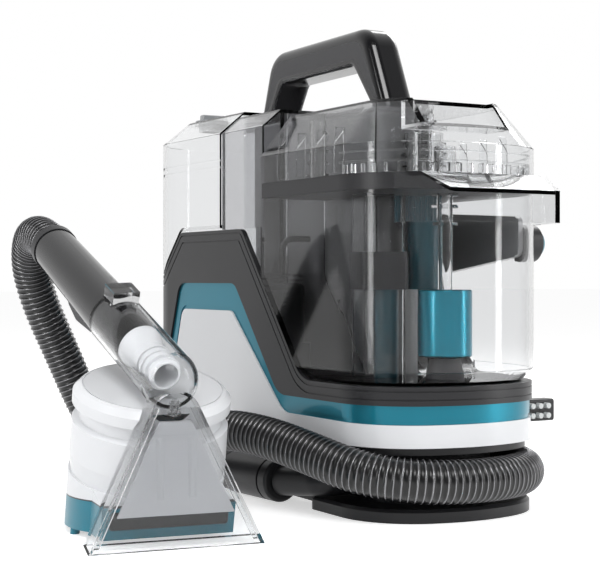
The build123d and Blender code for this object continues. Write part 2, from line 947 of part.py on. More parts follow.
# ---------------------------------------------------------------- fittings in the dirty-water tank
tank_floor = rim_top + dirty_wall
with BuildPart() as inlet_duct:
    with BuildSketch(Plane.XY.offset(tank_floor)):
        with Locations(duct_place):
            RectangleRounded(*duct_size, 4)
            RectangleRounded(duct_size[0] - 2 * duct_wall, duct_size[1] - 2 * duct_wall, 2, mode=Mode.SUBTRACT)
    extrude(amount=dirty_top - tank_floor)
save(inlet_duct, "inlet_duct")

with BuildPart() as duct_collar:
    with BuildSketch(Plane.XY.offset(duct_collar_z[0])):
        with Locations(duct_place):
            RectangleRounded(duct_size[0] + 2 * collar_wall, duct_size[1] + 2 * collar_wall, 4 + collar_wall)
            RectangleRounded(*duct_size, 4, mode=Mode.SUBTRACT)
    extrude(amount=duct_collar_z[1] - duct_collar_z[0])
save(duct_collar, "duct_collar")

with BuildPart() as duct_sleeve:
    with BuildSketch(Plane.XY.offset(tank_floor)):
        with Locations((duct_place[0] + sleeve_offset, duct_place[1])):
            Circle(sleeve_radius)
            Circle(sleeve_radius - duct_wall, mode=Mode.SUBTRACT)
    extrude(amount=duct_collar_z[0] - tank_floor)
save(duct_sleeve, "duct_sleeve")

with BuildPart() as air_riser:
    with BuildSketch(Plane.XY.offset(riser_bottom)):
        with Locations(riser_place):
            Circle(riser_radius)
            Circle(riser_radius - riser_wall, mode=Mode.SUBTRACT)
    extrude(amount=dirty_top - riser_bottom)
    with BuildSketch(Plane.XY.offset(riser_ribs_bottom)):
        with Locations(riser_place):
            with PolarLocations(riser_radius, riser_ribs):
                Circle(rib_radius)
            Circle(riser_radius - riser_wall / 2, mode=Mode.SUBTRACT)
    extrude(amount=dirty_top - riser_ribs_bottom)
save(air_riser, "air_riser")

with BuildPart() as float_guide:
    with BuildSketch(Plane.XY.offset(tank_floor)):
        with Locations(float_place):
            Circle(guide_radius)
            Circle(guide_radius - guide_wall, mode=Mode.SUBTRACT)
    extrude(amount=dirty_top - tank_floor)
    for flange_z in (float_z[1] + float_travel + 4, float_z[1] + float_travel + 16, dirty_top - 2):
        with BuildSketch(Plane.XY.offset(flange_z)):
            with Locations(float_place):
                Circle(guide_radius + 3.5)
                Circle(guide_radius - guide_wall, mode=Mode.SUBTRACT)
        extrude(amount=2)
save(float_guide, "float_guide")

with BuildPart() as float_seat:
    with BuildSketch(Plane.XY.offset(tank_floor)):
        with Locations(float_place):
            Circle(float_radius - 5)
            Circle(guide_radius, mode=Mode.SUBTRACT)
    extrude(amount=float_z[0] - float_seat_gap - tank_floor, taper=12)
save(float_seat, "float_seat")

with BuildPart() as shutoff_float:
    with BuildSketch(Plane.XY.offset(float_z[0])):
        with Locations(float_place):
            Circle(float_radius)
            Circle(guide_radius + float_guide_gap, mode=Mode.SUBTRACT)
    extrude(amount=float_z[1] - float_z[0])
    for rim in (shutoff_float.edges().group_by(Axis.Z)[-1], shutoff_float.edges().group_by(Axis.Z)[0]):
        fillet(rim.sort_by(Edge.length)[-1], 1.5)
save(shutoff_float, "shutoff_float")


# ---------------------------------------------------------------- fan, motor and pump
with BuildPart() as fan_case:
    with BuildSketch(Plane.XY.offset(rim_top)):
        with Locations(motor_place):
            Circle(fan_radius + fan_case_gap + fan_case_wall)
    extrude(amount=fan_case_height)
    with BuildSketch(Plane.XY.offset(rim_top + fan_case_wall)):
        with Locations(motor_place):
            Circle(fan_radius + fan_case_gap)
    extrude(amount=fan_case_height - 2 * fan_case_wall, mode=Mode.SUBTRACT)
    with BuildSketch(Plane.XY.offset(rim_top + fan_case_height)):
        with Locations(motor_place):
            Circle(shaft_radius + piece_gap)
    extrude(amount=-2 * fan_case_wall, mode=Mode.SUBTRACT)
    with BuildSketch(Plane.XY.offset(rim_top)):
        with Locations(motor_place):
            Circle(fan_radius / 3)
    extrude(amount=fan_case_wall, mode=Mode.SUBTRACT)
save(fan_case, "fan_case")

fan_floor = rim_top + fan_case_wall + fan_clearance
motor_floor = rim_top + fan_case_height
with BuildPart() as fan_impeller:
    with BuildSketch(Plane.XY.offset(fan_floor)):
        with Locations(motor_place):
            Circle(fan_radius)
    extrude(amount=1.5)
    with BuildSketch(Plane.XY.offset(fan_floor)):
        with Locations(motor_place):
            with PolarLocations(fan_radius * 0.62, fan_blades):
                Rectangle(fan_radius * 0.62, 1.6, rotation=35)
    extrude(amount=fan_height)
    with BuildSketch(Plane.XY.offset(fan_floor)):
        with Locations(motor_place):
            Circle(fan_radius / 4)
    extrude(amount=fan_height)
    with BuildSketch(Plane.XY.offset(fan_floor)):
        with Locations(motor_place):
            Circle(shaft_radius)
    extrude(amount=motor_floor + shaft_reach - fan_floor)
save(fan_impeller, "fan_impeller")

with BuildPart() as fan_motor:
    with BuildSketch(Plane.XY.offset(motor_floor)):
        with Locations(motor_place):
            Circle(motor_radius)
    extrude(amount=motor_height)
    chamfer(fan_motor.edges().group_by(Axis.Z)[-1], 3)
    with BuildSketch(Plane.XY.offset(motor_floor)):
        with Locations(motor_place):
            Circle(shaft_radius + shaft_gap)
    extrude(amount=shaft_reach + 1, mode=Mode.SUBTRACT)
save(fan_motor, "fan_motor")

with BuildPart() as exhaust_grille:
    with BuildSketch(Plane.XZ.offset(-(back_y + teal_recess))):
        with Locations((0, grille_z)):
            Rectangle(*grille_size)
            with GridLocations(0, grille_pitch, 1, grille_slots):
                Rectangle(grille_size[0] - 8, grille_pitch / 2, mode=Mode.SUBTRACT)
    extrude(amount=skin + teal_recess)
save(exhaust_grille, "exhaust_grille")

with BuildPart() as solution_pump:
    with BuildSketch(Plane.XY.offset(rim_top)):
        with Locations(pump_place):
            RectangleRounded(2 * pump_radius, 2 * pump_radius, 4)
    extrude(amount=pump_z[0] - rim_top)
    with BuildSketch(Plane.XY.offset(pump_z[0])):
        with Locations(pump_place):
            Circle(pump_radius)
    extrude(amount=pump_z[1] - pump_z[0])
    fillet(solution_pump.edges().group_by(Axis.Z)[-1], 4)
save(solution_pump, "solution_pump")

pump_tube_points = [
    (pump_place[0], pump_place[1], pump_z[1]),
    (pump_place[0], pump_place[1], pump_tube_top),
    (-spine_half_width - piece_gap, pump_place[1], pump_tube_top),
]
with BuildPart() as pump_tube:
    with BuildLine():
        FilletPolyline(*pump_tube_points, radius=4 * pump_tube_radius)
    with BuildSketch(Plane.XY.offset(pump_z[1])):
        with Locations(pump_place):
            Circle(pump_tube_radius)
    sweep()
save(pump_tube, "pump_tube")

post_spacing = (board_size[0] - 2 * board_post_margin, board_size[1] - 2 * board_post_margin)
with BuildPart() as circuit_board:
    with BuildSketch(Plane.XY.offset(deck_z - board_drop)):
        with Locations((0, board_y)):
            Rectangle(*board_size)
    extrude(amount=board_thickness)
    with BuildSketch(Plane.XY.offset(deck_z - board_drop + board_thickness)):
        with Locations((0, board_y)):
            with GridLocations(*post_spacing, 2, 2):
                Circle(board_post_radius)
    extrude(amount=board_drop - board_thickness)
    with BuildSketch(Plane.XY.offset(deck_z - board_drop)):
        for chip_x, chip_y in chip_places:
            with Locations((chip_x, board_y + chip_y)):
                Rectangle(*chip_size)
    extrude(amount=-chip_height)
save(circuit_board, "circuit_board")

with BuildPart() as mains_inlet:
    with BuildSketch(Plane.XZ.offset(-back_y)):
        with Locations((inlet_x, (skirt_top + white_top) / 2)):
            Circle(inlet_radius + 2)
    extrude(amount=-2)
    with BuildSketch(Plane.XZ.offset(-back_y)):
        with Locations((inlet_x, (skirt_top + white_top) / 2)):
            Circle(inlet_radius)
    extrude(amount=-inlet_length, taper=4)
save(mains_inlet, "mains_inlet")

# ---------------------------------------------------------------- arm, knob and parked brush, right side
arm_skin = dirty_outset + arm_gap


def arm_plan(inner, outer, y_from, y_to):
    """A strip along the right side of the body, between two distances outside its wall."""
    with BuildSketch() as strip:
        add(footprint(-outer))
        add(footprint(-inner), mode=Mode.SUBTRACT)
        with Locations((0, y_from)):
            Rectangle(through, y_to - y_from, align=(Align.MIN, Align.MIN), mode=Mode.INTERSECT)
    return strip.sketch


with BuildPart() as side_arm:
    with BuildSketch(Plane.XY.offset(arm_z[0])):
        add(arm_plan(arm_skin, arm_skin + arm_thickness, arm_y[0], arm_y[1]))
        add(arm_plan(teal_recess, arm_skin + arm_thickness, arm_y[1] - arm_root, arm_y[1]))
    extrude(amount=arm_z[1] - arm_z[0])
    with BuildSketch(side_view):
        add(
            side_profile(
                [
                    (arm_y[1], arm_z[0] + arm_step),
                    (arm_y[1] - arm_neck[0], arm_z[0] + arm_step),
                    (arm_y[1] - arm_neck[1], arm_z[0]),
                    (arm_y[0], arm_z[0] + arm_tip_rise),
                    (arm_y[0], arm_z[1] - arm_fall),
                    (arm_y[1] - arm_neck[2], arm_z[1]),
                    (arm_y[1], arm_z[1] - arm_fall),
                ],
                [0, 4, 8, 7, 7, 12, 0],
            )
        )
    extrude(amount=through, mode=Mode.INTERSECT)
save(side_arm, "side_arm")

knob_x = front_half_width + arm_skin + arm_thickness + 1.6
with BuildPart() as arm_knob:
    with BuildSketch(Plane.YZ.offset(knob_x)):
        with Locations(knob_place):
            Circle(knob_radius)
    extrude(amount=knob_depth)
    chamfer(arm_knob.edges().group_by(Axis.X)[-1], 2)
save(arm_knob, "arm_knob")

with BuildPart() as knob_cap:
    with BuildSketch(Plane.YZ.offset(knob_x + knob_depth)):
        with Locations(knob_place):
            Circle(knob_radius - 3.5)
    extrude(amount=3)
    fillet(knob_cap.edges().group_by(Axis.X)[-1], 2)
save(knob_cap, "knob_cap")

brush_middle_y = (brush_y[0] + brush_y[1]) / 2
brush_middle_z = (brush_z[0] + brush_z[1]) / 2
holder_x = front_half_width + holder_reach
with BuildPart() as brush_holder:
    with BuildSketch(Plane.XY.offset(brush_z[0])):
        with Locations((0, brush_middle_y)):
            Rectangle(holder_x, brush_y[1] - brush_y[0], align=(Align.MIN, Align.CENTER))
        add(footprint(), mode=Mode.SUBTRACT)
    extrude(amount=brush_z[1] - brush_z[0])
    with BuildSketch(Plane.YZ.offset(holder_x)):
        with Locations((brush_middle_y, brush_middle_z)):
            Circle(peg_radius)
    extrude(amount=peg_length)
save(brush_holder, "brush_holder")

brush_start_x = holder_x + piece_gap
with BuildPart() as spare_brush:
    with BuildSketch(Plane.YZ.offset(brush_start_x)):
        with Locations((brush_middle_y, brush_middle_z)):
            RectangleRounded(brush_y[1] - brush_y[0], brush_z[1] - brush_z[0], 2)
    extrude(amount=brush_length)
    fillet(spare_brush.edges().group_by(Axis.X)[-1], 1.5)
    with BuildSketch(Plane.YZ.offset(brush_start_x)):
        with Locations((brush_middle_y, brush_middle_z)):
            Circle(peg_radius + shaft_gap)
    extrude(amount=peg_length + 1, mode=Mode.SUBTRACT)
save(spare_brush, "spare_brush")

with BuildPart() as spare_bristles:
    with BuildSketch(Plane.XZ.offset(-brush_y[0])):
        with Locations((brush_start_x + brush_length / 2, brush_middle_z)):
            with GridLocations(tuft_pitch, tuft_pitch, 3, 2):
                Circle(tuft_radius)
    extrude(amount=tuft_length)
save(spare_bristles, "spare_bristles")

# ---------------------------------------------------------------- hose
port_path = [(-core_port_reach, *port_knee[1:]), port_knee, cuff_start]
with BuildPart() as hose_port:
    with BuildLine() as port_line:
        FilletPolyline(*port_path, radius=port_bend)
    with BuildSketch(Plane(port_line.line @ 0, z_dir=port_line.line % 0)):
        Circle(port_radius)
    sweep()
save(hose_port, "hose_port")

cuff_direction = Vector(*hose_route[0]) - Vector(*cuff_start)
cuff_plane = Plane(Vector(*cuff_start), x_dir=(0, 0, 1), z_dir=cuff_direction)
with BuildPart() as machine_cuff:
    with BuildSketch(cuff_plane):
        Circle(cuff_radius)
    extrude(amount=cuff_direction.length)
    with BuildSketch(cuff_plane.offset(cuff_groove_place)):
        Circle(cuff_radius)
        Circle(cuff_radius - cuff_groove, mode=Mode.SUBTRACT)
    extrude(amount=cuff_groove, mode=Mode.SUBTRACT)
    fillet(machine_cuff.edges().filter_by(GeomType.CIRCLE).sort_by(Axis.Y)[0], 2)
save(machine_cuff, "machine_cuff")


def largest_radii(route):
    """For each inner corner of a route, the largest arc that its two runs allow."""
    points = [Vector(*point) for point in route]
    radii = []
    for before, corner, after in zip(points, points[1:], points[2:]):
        turn = radians((corner - before).get_angle(after - corner))
        shorter = min((corner - before).length, (after - corner).length)
        radii.append(0.45 * shorter / tan(turn / 2))
    return radii


hose_radii = largest_radii(hose_route)
print("hose radii:", [round(radius) for radius in hose_radii])
with BuildPart() as hose:
    with BuildLine() as hose_line:
        FilletPolyline(*hose_route, radius=hose_radii)
    with BuildSketch(Plane(hose_line.line @ 0, z_dir=hose_line.line % 0)):
        Circle(hose_radius)
    sweep()
hose_length = sum(edge.length for edge in hose_line.edges())
hose_volume = hose_length * pi * hose_radius**2
print("hose length:", round(hose_length), "volume ratio:", round(hose.part.volume / hose_volume, 5))
save(hose, "hose")

# ---------------------------------------------------------------- brush tool
# head_plane lies along the underside of the head, with +Y from the lip to the back; head_side and
# head_front are its side and front views; neck_side has +X along the handle and +Y up.
yaw = radians(tool_yaw)
lean = radians(tool_lean)
rise = radians(handle_rise)
neck_turn = radians(neck_yaw)
tool_right = Vector(cos(yaw), sin(yaw), 0)
tool_back = Vector(-sin(yaw), cos(yaw), 0)
head_up = tool_back * -sin(lean) + Vector(0, 0, cos(lean))
head_back = tool_back * cos(lean) + Vector(0, 0, sin(lean))
head_place = head_front_y + head_radius
head_plane = Plane(Vector(*tool_origin), x_dir=tool_right, z_dir=head_up)
head_side = Plane(Vector(*tool_origin), x_dir=head_back, z_dir=tool_right)
head_front = Plane(Vector(*tool_origin), x_dir=tool_right, z_dir=-head_back)
head_axis = Axis(head_side.from_local_coords((head_place, 0, 0)), head_up)
neck_right = tool_right * cos(neck_turn) + head_back * sin(neck_turn)
neck_back = head_back * cos(neck_turn) - tool_right * sin(neck_turn)
neck_along = neck_back * cos(rise) + head_up * sin(rise)
neck_side = Plane(head_side.from_local_coords((*neck_start, 0)), x_dir=neck_along, z_dir=neck_right)
neck_axis = Axis(neck_side.origin, neck_along)
neck_plane = Plane(neck_side.origin, x_dir=neck_right, z_dir=neck_along)
tool_span = 4 * lip_width


def level_floor(height):
    """Everything of the tool below a level height, as a block to cut away."""
    with BuildPart() as block:
        with BuildSketch(Plane.XY.offset(height)):
            with Locations(tool_origin[:2]):
                Rectangle(tool_span, tool_span)
        extrude(amount=-tool_span)
    return block.part


def turned(profile, plane, axis):
    """A body turned about an axis from a closed outline on a side view."""
    with BuildPart() as body:
        with BuildSketch(plane):
            add(outline(profile))
        revolve(axis=axis)
    return body.part


def neck_body(inset):
    """Bulk of the clear neck: a round tube with a domed front end."""
    radius = neck_radius - inset
    with BuildPart() as body:
        with BuildSketch(neck_plane):
            Circle(radius)
        extrude(amount=neck_length)
        add(turned_dome(radius))
    return body.part


def turned_dome(radius):
    """The ball at the neck's front end."""
    with BuildPart() as dome:
        with BuildSketch(neck_side):
            with BuildLine():
                RadiusArc((-radius, 0), (radius, 0), radius)
                Line((radius, 0), (-radius, 0))
            make_face()
        revolve(axis=neck_axis)
    return dome.part


def nozzle_half_width(height, inset=0.0):
    """Half the nozzle's width at a height on its front view, moved squarely in by inset."""
    slope = (lip_width - apex_width) / 2 / nozzle_slope[1]
    return lip_width / 2 - slope * height - inset * hypot(1, slope)


def nozzle_front_y(height, inset=0.0):
    """Where the nozzle's leaning front stands at a height on its side view, moved squarely in by inset."""
    slope = nozzle_slope[0] / nozzle_slope[1]
    return slope * height + inset * hypot(1, slope)


def nozzle_body(inset):
    """Bulk of the suction nozzle: a leaning slab that narrows from its lip to its apex."""
    low = -inset
    shoulder = nozzle_slope[1]
    high = shoulder + apex_rise - inset
    with BuildPart() as body:
        with BuildSketch(head_side):
            add(
                outline(
                    [
                        (nozzle_front_y(low, inset), low),
                        (nozzle_front_y(high, inset), high),
                        (nozzle_front_y(high, -inset) + nozzle_thickness, high),
                        (nozzle_front_y(low, -inset) + nozzle_thickness, low),
                    ]
                )
            )
        extrude(amount=lip_width, both=True)
        with BuildSketch(head_front.offset(tool_span / 2)):
            with BuildLine():
                Polyline(
                    (nozzle_half_width(shoulder, inset), shoulder),
                    (nozzle_half_width(low, inset), low),
                    (-nozzle_half_width(low, inset), low),
                    (-nozzle_half_width(shoulder, inset), shoulder),
                )
                ThreePointArc(
                    (-nozzle_half_width(shoulder, inset), shoulder),
                    (0, high),
                    (nozzle_half_width(shoulder, inset), shoulder),
                )
            make_face()
        extrude(amount=-tool_span, mode=Mode.INTERSECT)
        add(level_floor(lip_floor), mode=Mode.SUBTRACT)
    return body.part


def latch_slot():
    """Room for the latch through the top of the neck and the grip."""
    with BuildPart() as slot:
        with BuildSketch(neck_side):
            with Locations((latch_place, neck_radius)):
                Rectangle(latch_size[0] + 2 * piece_gap, 4 * grip_wall)
        extrude(amount=latch_size[1] / 2 + piece_gap, both=True)
    return slot.part


with BuildPart() as tool_neck:
    add(neck_body(0))
    add(neck_body(neck_wall), mode=Mode.SUBTRACT)
    add(nozzle_body(nozzle_wall), mode=Mode.SUBTRACT)
    add(latch_slot(), mode=Mode.SUBTRACT)
save(tool_neck, "tool_neck")

with BuildPart() as tool_nozzle:
    add(nozzle_body(0))
    add(nozzle_body(nozzle_wall), mode=Mode.SUBTRACT)
    add(neck_body(0), mode=Mode.SUBTRACT)
save(tool_nozzle, "tool_nozzle")


with BuildPart() as nozzle_plate:
    with BuildSketch(head_side):
        add(
            outline(
                [
                    (nozzle_front_y(plate_z[0], plate_setback), plate_z[0]),
                    (nozzle_front_y(plate_z[1], plate_setback), plate_z[1]),
                    (nozzle_front_y(plate_z[1], plate_setback + plate_sheet), plate_z[1]),
                    (nozzle_front_y(plate_z[0], plate_setback + plate_sheet), plate_z[0]),
                ]
            )
        )
    extrude(amount=lip_width, both=True)
    with BuildSketch(head_front.offset(tool_span / 2)):
        add(
            outline(
                [
                    (-nozzle_half_width(plate_z[0], plate_inset), plate_z[0]),
                    (nozzle_half_width(plate_z[0], plate_inset), plate_z[0]),
                    (nozzle_half_width(plate_z[1], plate_inset), plate_z[1]),
                    (-nozzle_half_width(plate_z[1], plate_inset), plate_z[1]),
                ]
            )
        )
        with Locations((0, (plate_z[0] + plate_z[1]) / 2)):
            with GridLocations(4 * plate_slot[0], 0, 2, 1):
                SlotOverall(plate_slot[1], plate_slot[0], rotation=90, mode=Mode.SUBTRACT)
    extrude(amount=-tool_span, mode=Mode.INTERSECT)
save(nozzle_plate, "nozzle_plate")


def head_ring(points):
    """A body of the round head, from points given as radius and height."""
    return turned([(head_place + radius, height) for radius, height in points], head_side, head_axis)


def clear_of_nozzle(body):
    """A part of the head with the room for the nozzle and the neck cut out of it."""
    with BuildPart() as cut:
        add(body)
        add(nozzle_body(-piece_gap), mode=Mode.SUBTRACT)
        add(neck_body(-piece_gap), mode=Mode.SUBTRACT)
    return cut.part


groove_radius = head_radius - groove_depth
with BuildPart() as turbine_housing:
    add(
        clear_of_nozzle(
            head_ring(
                [
                    (0, head_floor),
                    (head_radius - 1, head_floor),
                    (head_radius + head_flare, head_floor + flare_height),
                    (head_radius, groove_z[0] - 2),
                    (groove_radius, groove_z[0]),
                    (groove_radius, groove_z[1]),
                    (groove_radius - head_wall, groove_z[1]),
                    (groove_radius - head_wall, groove_z[0] - 2),
                    (head_radius - head_wall, head_floor + flare_height),
                    (head_radius - head_wall - 2, head_floor + head_wall),
                    (rotor_shaft_radius + shaft_gap, head_floor + head_wall),
                    (rotor_shaft_radius + shaft_gap, head_floor + 1),
                    (0, head_floor + 1),
                ]
            )
        )
    )
save(turbine_housing, "turbine_housing")

line_outer = head_radius - cover_line[0]
with BuildPart() as turbine_cover:
    add(
        clear_of_nozzle(
            head_ring(
                [
                    (0, cover_top),
                    (line_outer - cover_line[1], cover_top),
                    (line_outer - cover_line[1], cover_top - cover_line[2]),
                    (line_outer, cover_top - cover_line[2]),
                    (line_outer, cover_top),
                    (head_radius - 3, cover_top - 1),
                    (head_radius + 0.5, cover_top - 5),
                    (head_radius + 0.5, groove_z[1] + 2),
                    (groove_radius, groove_z[1]),
                    (groove_radius - head_wall, groove_z[1]),
                    (groove_radius - head_wall, cover_top - head_wall - 1),
                    (0, cover_top - head_wall - 1),
                ]
            )
        )
    )
save(turbine_cover, "turbine_cover")

with BuildPart() as turbine_rotor:
    with BuildSketch(head_plane.offset(head_floor + 1 + shaft_gap)):
        with Locations((0, head_place)):
            Circle(rotor_shaft_radius)
    extrude(amount=rotor_z[1] - head_floor - 1 - shaft_gap)
    with BuildSketch(head_plane.offset(rotor_z[0])):
        with Locations((0, head_place)):
            Circle(rotor_radius * 0.5)
            with PolarLocations(rotor_radius * 0.7, rotor_blades):
                Rectangle(rotor_radius * 0.55, 1.8, rotation=25)
    extrude(amount=rotor_z[1] - rotor_z[0])
save(turbine_rotor, "turbine_rotor")


def skirt_plan(inset):
    """Plan of the brush housing: a round back with a square front for the roll."""
    radius = head_radius + skirt_outset - inset
    with BuildSketch() as plan:
        with Locations((0, head_place)):
            Circle(radius)
        with Locations((0, skirt_front + inset)):
            front_size = (2 * (skirt_half_width - inset), head_place - skirt_front - inset)
            Rectangle(*front_size, align=(Align.CENTER, Align.MIN))
    return plan.sketch


with BuildPart() as brush_skirt:
    with BuildSketch(head_plane.offset(head_floor)):
        add(skirt_plan(0))
    extrude(amount=-tool_span / 4)
    with BuildSketch(head_plane.offset(head_floor - skirt_wall)):
        add(skirt_plan(skirt_wall))
    extrude(amount=-tool_span / 4, mode=Mode.SUBTRACT)
    add(level_floor(skirt_clearance), mode=Mode.SUBTRACT)
    add(nozzle_body(-piece_gap), mode=Mode.SUBTRACT)
    with BuildSketch(head_front.offset(-skirt_front + 2)):
        with Locations((0, window_z)):
            RectangleRounded(*window_size, 2)
    extrude(amount=-(skirt_wall + 3), mode=Mode.SUBTRACT)
    with BuildSketch(head_plane.offset(head_floor - skirt_wall)):
        with Locations((0, head_place)):
            for angle in glide_angles:
                with PolarLocations(head_radius + skirt_outset - glide_inset, 1, start_angle=angle):
                    Circle(glide_radius)
    extrude(amount=-tool_span / 4)
    add(level_floor(0), mode=Mode.SUBTRACT)
save(brush_skirt, "brush_skirt")

with BuildPart() as brush_window:
    with BuildSketch(head_front.offset(-skirt_front - 0.6)):
        with Locations((0, window_z)):
            RectangleRounded(*window_size, 2)
    extrude(amount=-1.4)
save(brush_window, "brush_window")

roll_height = (roll_radius + bristle_length + floor_gap - roll_place * sin(lean)) / cos(lean)
roll_plane = Plane(head_side.from_local_coords((roll_place, roll_height, 0)), x_dir=head_back, z_dir=tool_right)
with BuildPart() as brush_roll:
    with BuildSketch(roll_plane):
        Circle(roll_radius)
    extrude(amount=roll_half_length, both=True)
    with BuildSketch(roll_plane):
        Circle(3)
    extrude(amount=skirt_half_width - skirt_wall - piece_gap, both=True)
save(brush_roll, "brush_roll")

with BuildPart() as roll_bristles:
    for row in range(bristle_rows):
        row_angle = 2 * pi * row / bristle_rows
        outwards = head_back * cos(row_angle) + head_up * sin(row_angle)
        with BuildSketch(Plane(roll_plane.origin, x_dir=tool_right, z_dir=outwards).offset(roll_radius)):
            with GridLocations(2 * roll_half_length / bristle_tufts, 1, bristle_tufts, 1):
                Circle(bristle_radius)
        extrude(amount=bristle_length)
save(roll_bristles, "roll_bristles")

tube_ring_points = []
for ring in tube_rings:
    tube_ring_points += [
        (ring, tube_radius),
        (ring, tube_radius + ring_size[1]),
        (ring + ring_size[0], tube_radius + ring_size[1]),
        (ring + ring_size[0], tube_radius),
    ]
with BuildPart() as suction_tube:
    add(
        turned(
            [
                (tube_from, tube_bore),
                (tube_from, tube_radius - tube_bevel),
                (tube_from + tube_bevel, tube_radius),
                *tube_ring_points,
                (flare_from, tube_radius),
                (tube_to - flare_land, flare_radius),
                (tube_to, flare_radius),
                (tube_to, flare_radius + tube_bore - tube_radius),
                (tube_to - flare_land, flare_radius + tube_bore - tube_radius),
                (flare_from, tube_bore),
            ],
            neck_side,
            neck_axis,
        )
    )
save(suction_tube, "suction_tube")


trigger_pin = (trigger_span[0] + pin_place[0], pin_place[1] - grip_front_radius)


def grip_half(side):
    """One half of the handle's shell; side is -1 for the left and 1 for the right."""
    inner = neck_radius - neck_wall - piece_gap
    with BuildPart() as half:
        add(
            turned(
                [
                    (tube_to, inner),
                    (neck_length, inner),
                    (neck_length, grip_front_radius),
                    (grip_waist[0], grip_waist[1]),
                    (grip_length - cuff_length, grip_back_radius),
                    (grip_length - cuff_length, grip_back_radius - grip_wall),
                    (grip_waist[0], grip_waist[1] - grip_wall),
                    (neck_length, inner - grip_wall),
                    (tube_to, inner - grip_wall),
                ],
                neck_side,
                neck_axis,
            )
        )
        with BuildSketch(neck_side):
            with Locations(((trigger_span[0] + trigger_span[1]) / 2, -grip_front_radius)):
                Rectangle(trigger_span[1] - trigger_span[0] + 2, 2 * grip_wall + 8)
        extrude(amount=trigger_width / 2 + piece_gap, both=True, mode=Mode.SUBTRACT)
        add(latch_slot(), mode=Mode.SUBTRACT)
        with BuildSketch(neck_side):
            add(
                outline(
                    [
                        (tube_to - 1, neck_radius),
                        (tube_to - 1, -scoop_foot),
                        (tube_to + grip_scoop, neck_radius),
                    ]
                )
            )
        extrude(amount=neck_radius, both=True, mode=Mode.SUBTRACT)
        with BuildSketch(neck_side):
            with Locations(trigger_pin):
                Circle(pin_radius + shaft_gap)
        extrude(amount=trigger_width / 2 + pin_reach + shaft_gap, both=True, mode=Mode.SUBTRACT)
        split(bisect_by=neck_side, keep=Keep.TOP if side > 0 else Keep.BOTTOM)
    return half


grip_left = grip_half(-1)
save(grip_left, "grip_left")
grip_right = grip_half(1)
save(grip_right, "grip_right")

with BuildPart() as tool_cuff:
    add(
        turned(
            [
                (grip_length - cuff_length, 0),
                (grip_length - cuff_length, grip_back_radius + 0.7),
                (grip_length - 1, grip_back_radius + 0.7),
                (grip_length, grip_back_radius),
                (grip_length, 0),
            ],
            neck_side,
            neck_axis,
        )
    )
save(tool_cuff, "tool_cuff")

belly_place = trigger_span[0] + trigger_belly * (trigger_span[1] - trigger_span[0])
with BuildPart() as spray_trigger:
    with BuildSketch(neck_side):
        add(
            side_profile(
                [
                    (trigger_span[0], -grip_front_radius + 7),
                    (trigger_span[1], -grip_front_radius + 7),
                    (trigger_span[1], -grip_front_radius - 1),
                    (belly_place, -grip_front_radius - 6),
                    (trigger_span[0], -grip_front_radius - 2),
                ],
                [1, 1, 3, 12, 2],
            )
        )
    extrude(amount=trigger_width / 2, both=True)
    with BuildSketch(neck_side):
        with Locations(trigger_pin):
            Circle(pin_radius)
    extrude(amount=trigger_width / 2 + pin_reach, both=True)
save(spray_trigger, "spray_trigger")

with BuildPart() as neck_latch:
    with BuildSketch(neck_side):
        with Locations((latch_place, neck_radius + latch_size[2] / 2 - 2)):
            Rectangle(latch_size[0], latch_size[2])
    extrude(amount=latch_size[1] / 2, both=True)
save(neck_latch, "neck_latch")

print("head axis:", head_axis.position, head_axis.direction)
print("roll axis:", roll_plane.origin, tool_right)
print("trigger pin:", neck_side.from_local_coords((*trigger_pin, 0)), neck_right)
print("latch press:", -neck_side.y_dir)
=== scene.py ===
"""Looks of the carpet cleaner machine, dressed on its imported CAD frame. Metres, +Z up."""
import json
import math

import bmesh
import bpy
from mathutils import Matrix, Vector, geometry


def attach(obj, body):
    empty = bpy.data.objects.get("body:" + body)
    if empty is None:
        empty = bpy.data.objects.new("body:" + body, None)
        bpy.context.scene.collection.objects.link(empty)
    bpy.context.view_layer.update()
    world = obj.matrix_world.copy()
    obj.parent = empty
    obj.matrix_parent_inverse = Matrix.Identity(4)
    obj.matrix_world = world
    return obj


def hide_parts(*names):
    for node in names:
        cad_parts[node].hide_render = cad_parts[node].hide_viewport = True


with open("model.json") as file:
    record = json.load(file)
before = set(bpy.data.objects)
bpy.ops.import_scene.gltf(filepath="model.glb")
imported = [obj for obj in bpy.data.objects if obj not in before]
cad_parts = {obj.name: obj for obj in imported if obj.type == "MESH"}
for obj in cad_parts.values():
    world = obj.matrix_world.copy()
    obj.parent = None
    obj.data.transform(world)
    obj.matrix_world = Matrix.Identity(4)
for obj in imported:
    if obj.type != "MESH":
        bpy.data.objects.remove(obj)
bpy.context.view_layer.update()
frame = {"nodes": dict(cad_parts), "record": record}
nodes = frame["nodes"]
MM = 0.001


# ---------------------------------------------------------------- camera, lamps, floor
def look(obj, direction):
    """Turn a camera or lamp so that it faces a direction."""
    obj.rotation_euler = Vector(direction).to_track_quat("-Z", "Y").to_euler()


VIEW = (0.4848, 0.8746, 0)
camera_data = bpy.data.cameras.new("camera")
camera_data.lens = 84
camera_data.sensor_width = 36
camera_data.shift_y = -0.0092
camera = bpy.data.objects.new("camera", camera_data)
bpy.context.scene.collection.objects.link(camera)
camera.location = (-0.550, -0.9355, 0.160)
look(camera, VIEW)
bpy.context.scene.camera = camera


def area_lamp(name, place, target, size, power, colour=(1, 1, 1)):
    """A soft lamp at a place, aimed at a target."""
    data = bpy.data.lights.new(name, "AREA")
    data.shape = "RECTANGLE"
    data.size, data.size_y = size
    data.energy = power
    data.color = colour
    lamp = bpy.data.objects.new(name, data)
    bpy.context.scene.collection.objects.link(lamp)
    lamp.location = place
    look(lamp, Vector(target) - Vector(place))
    return lamp


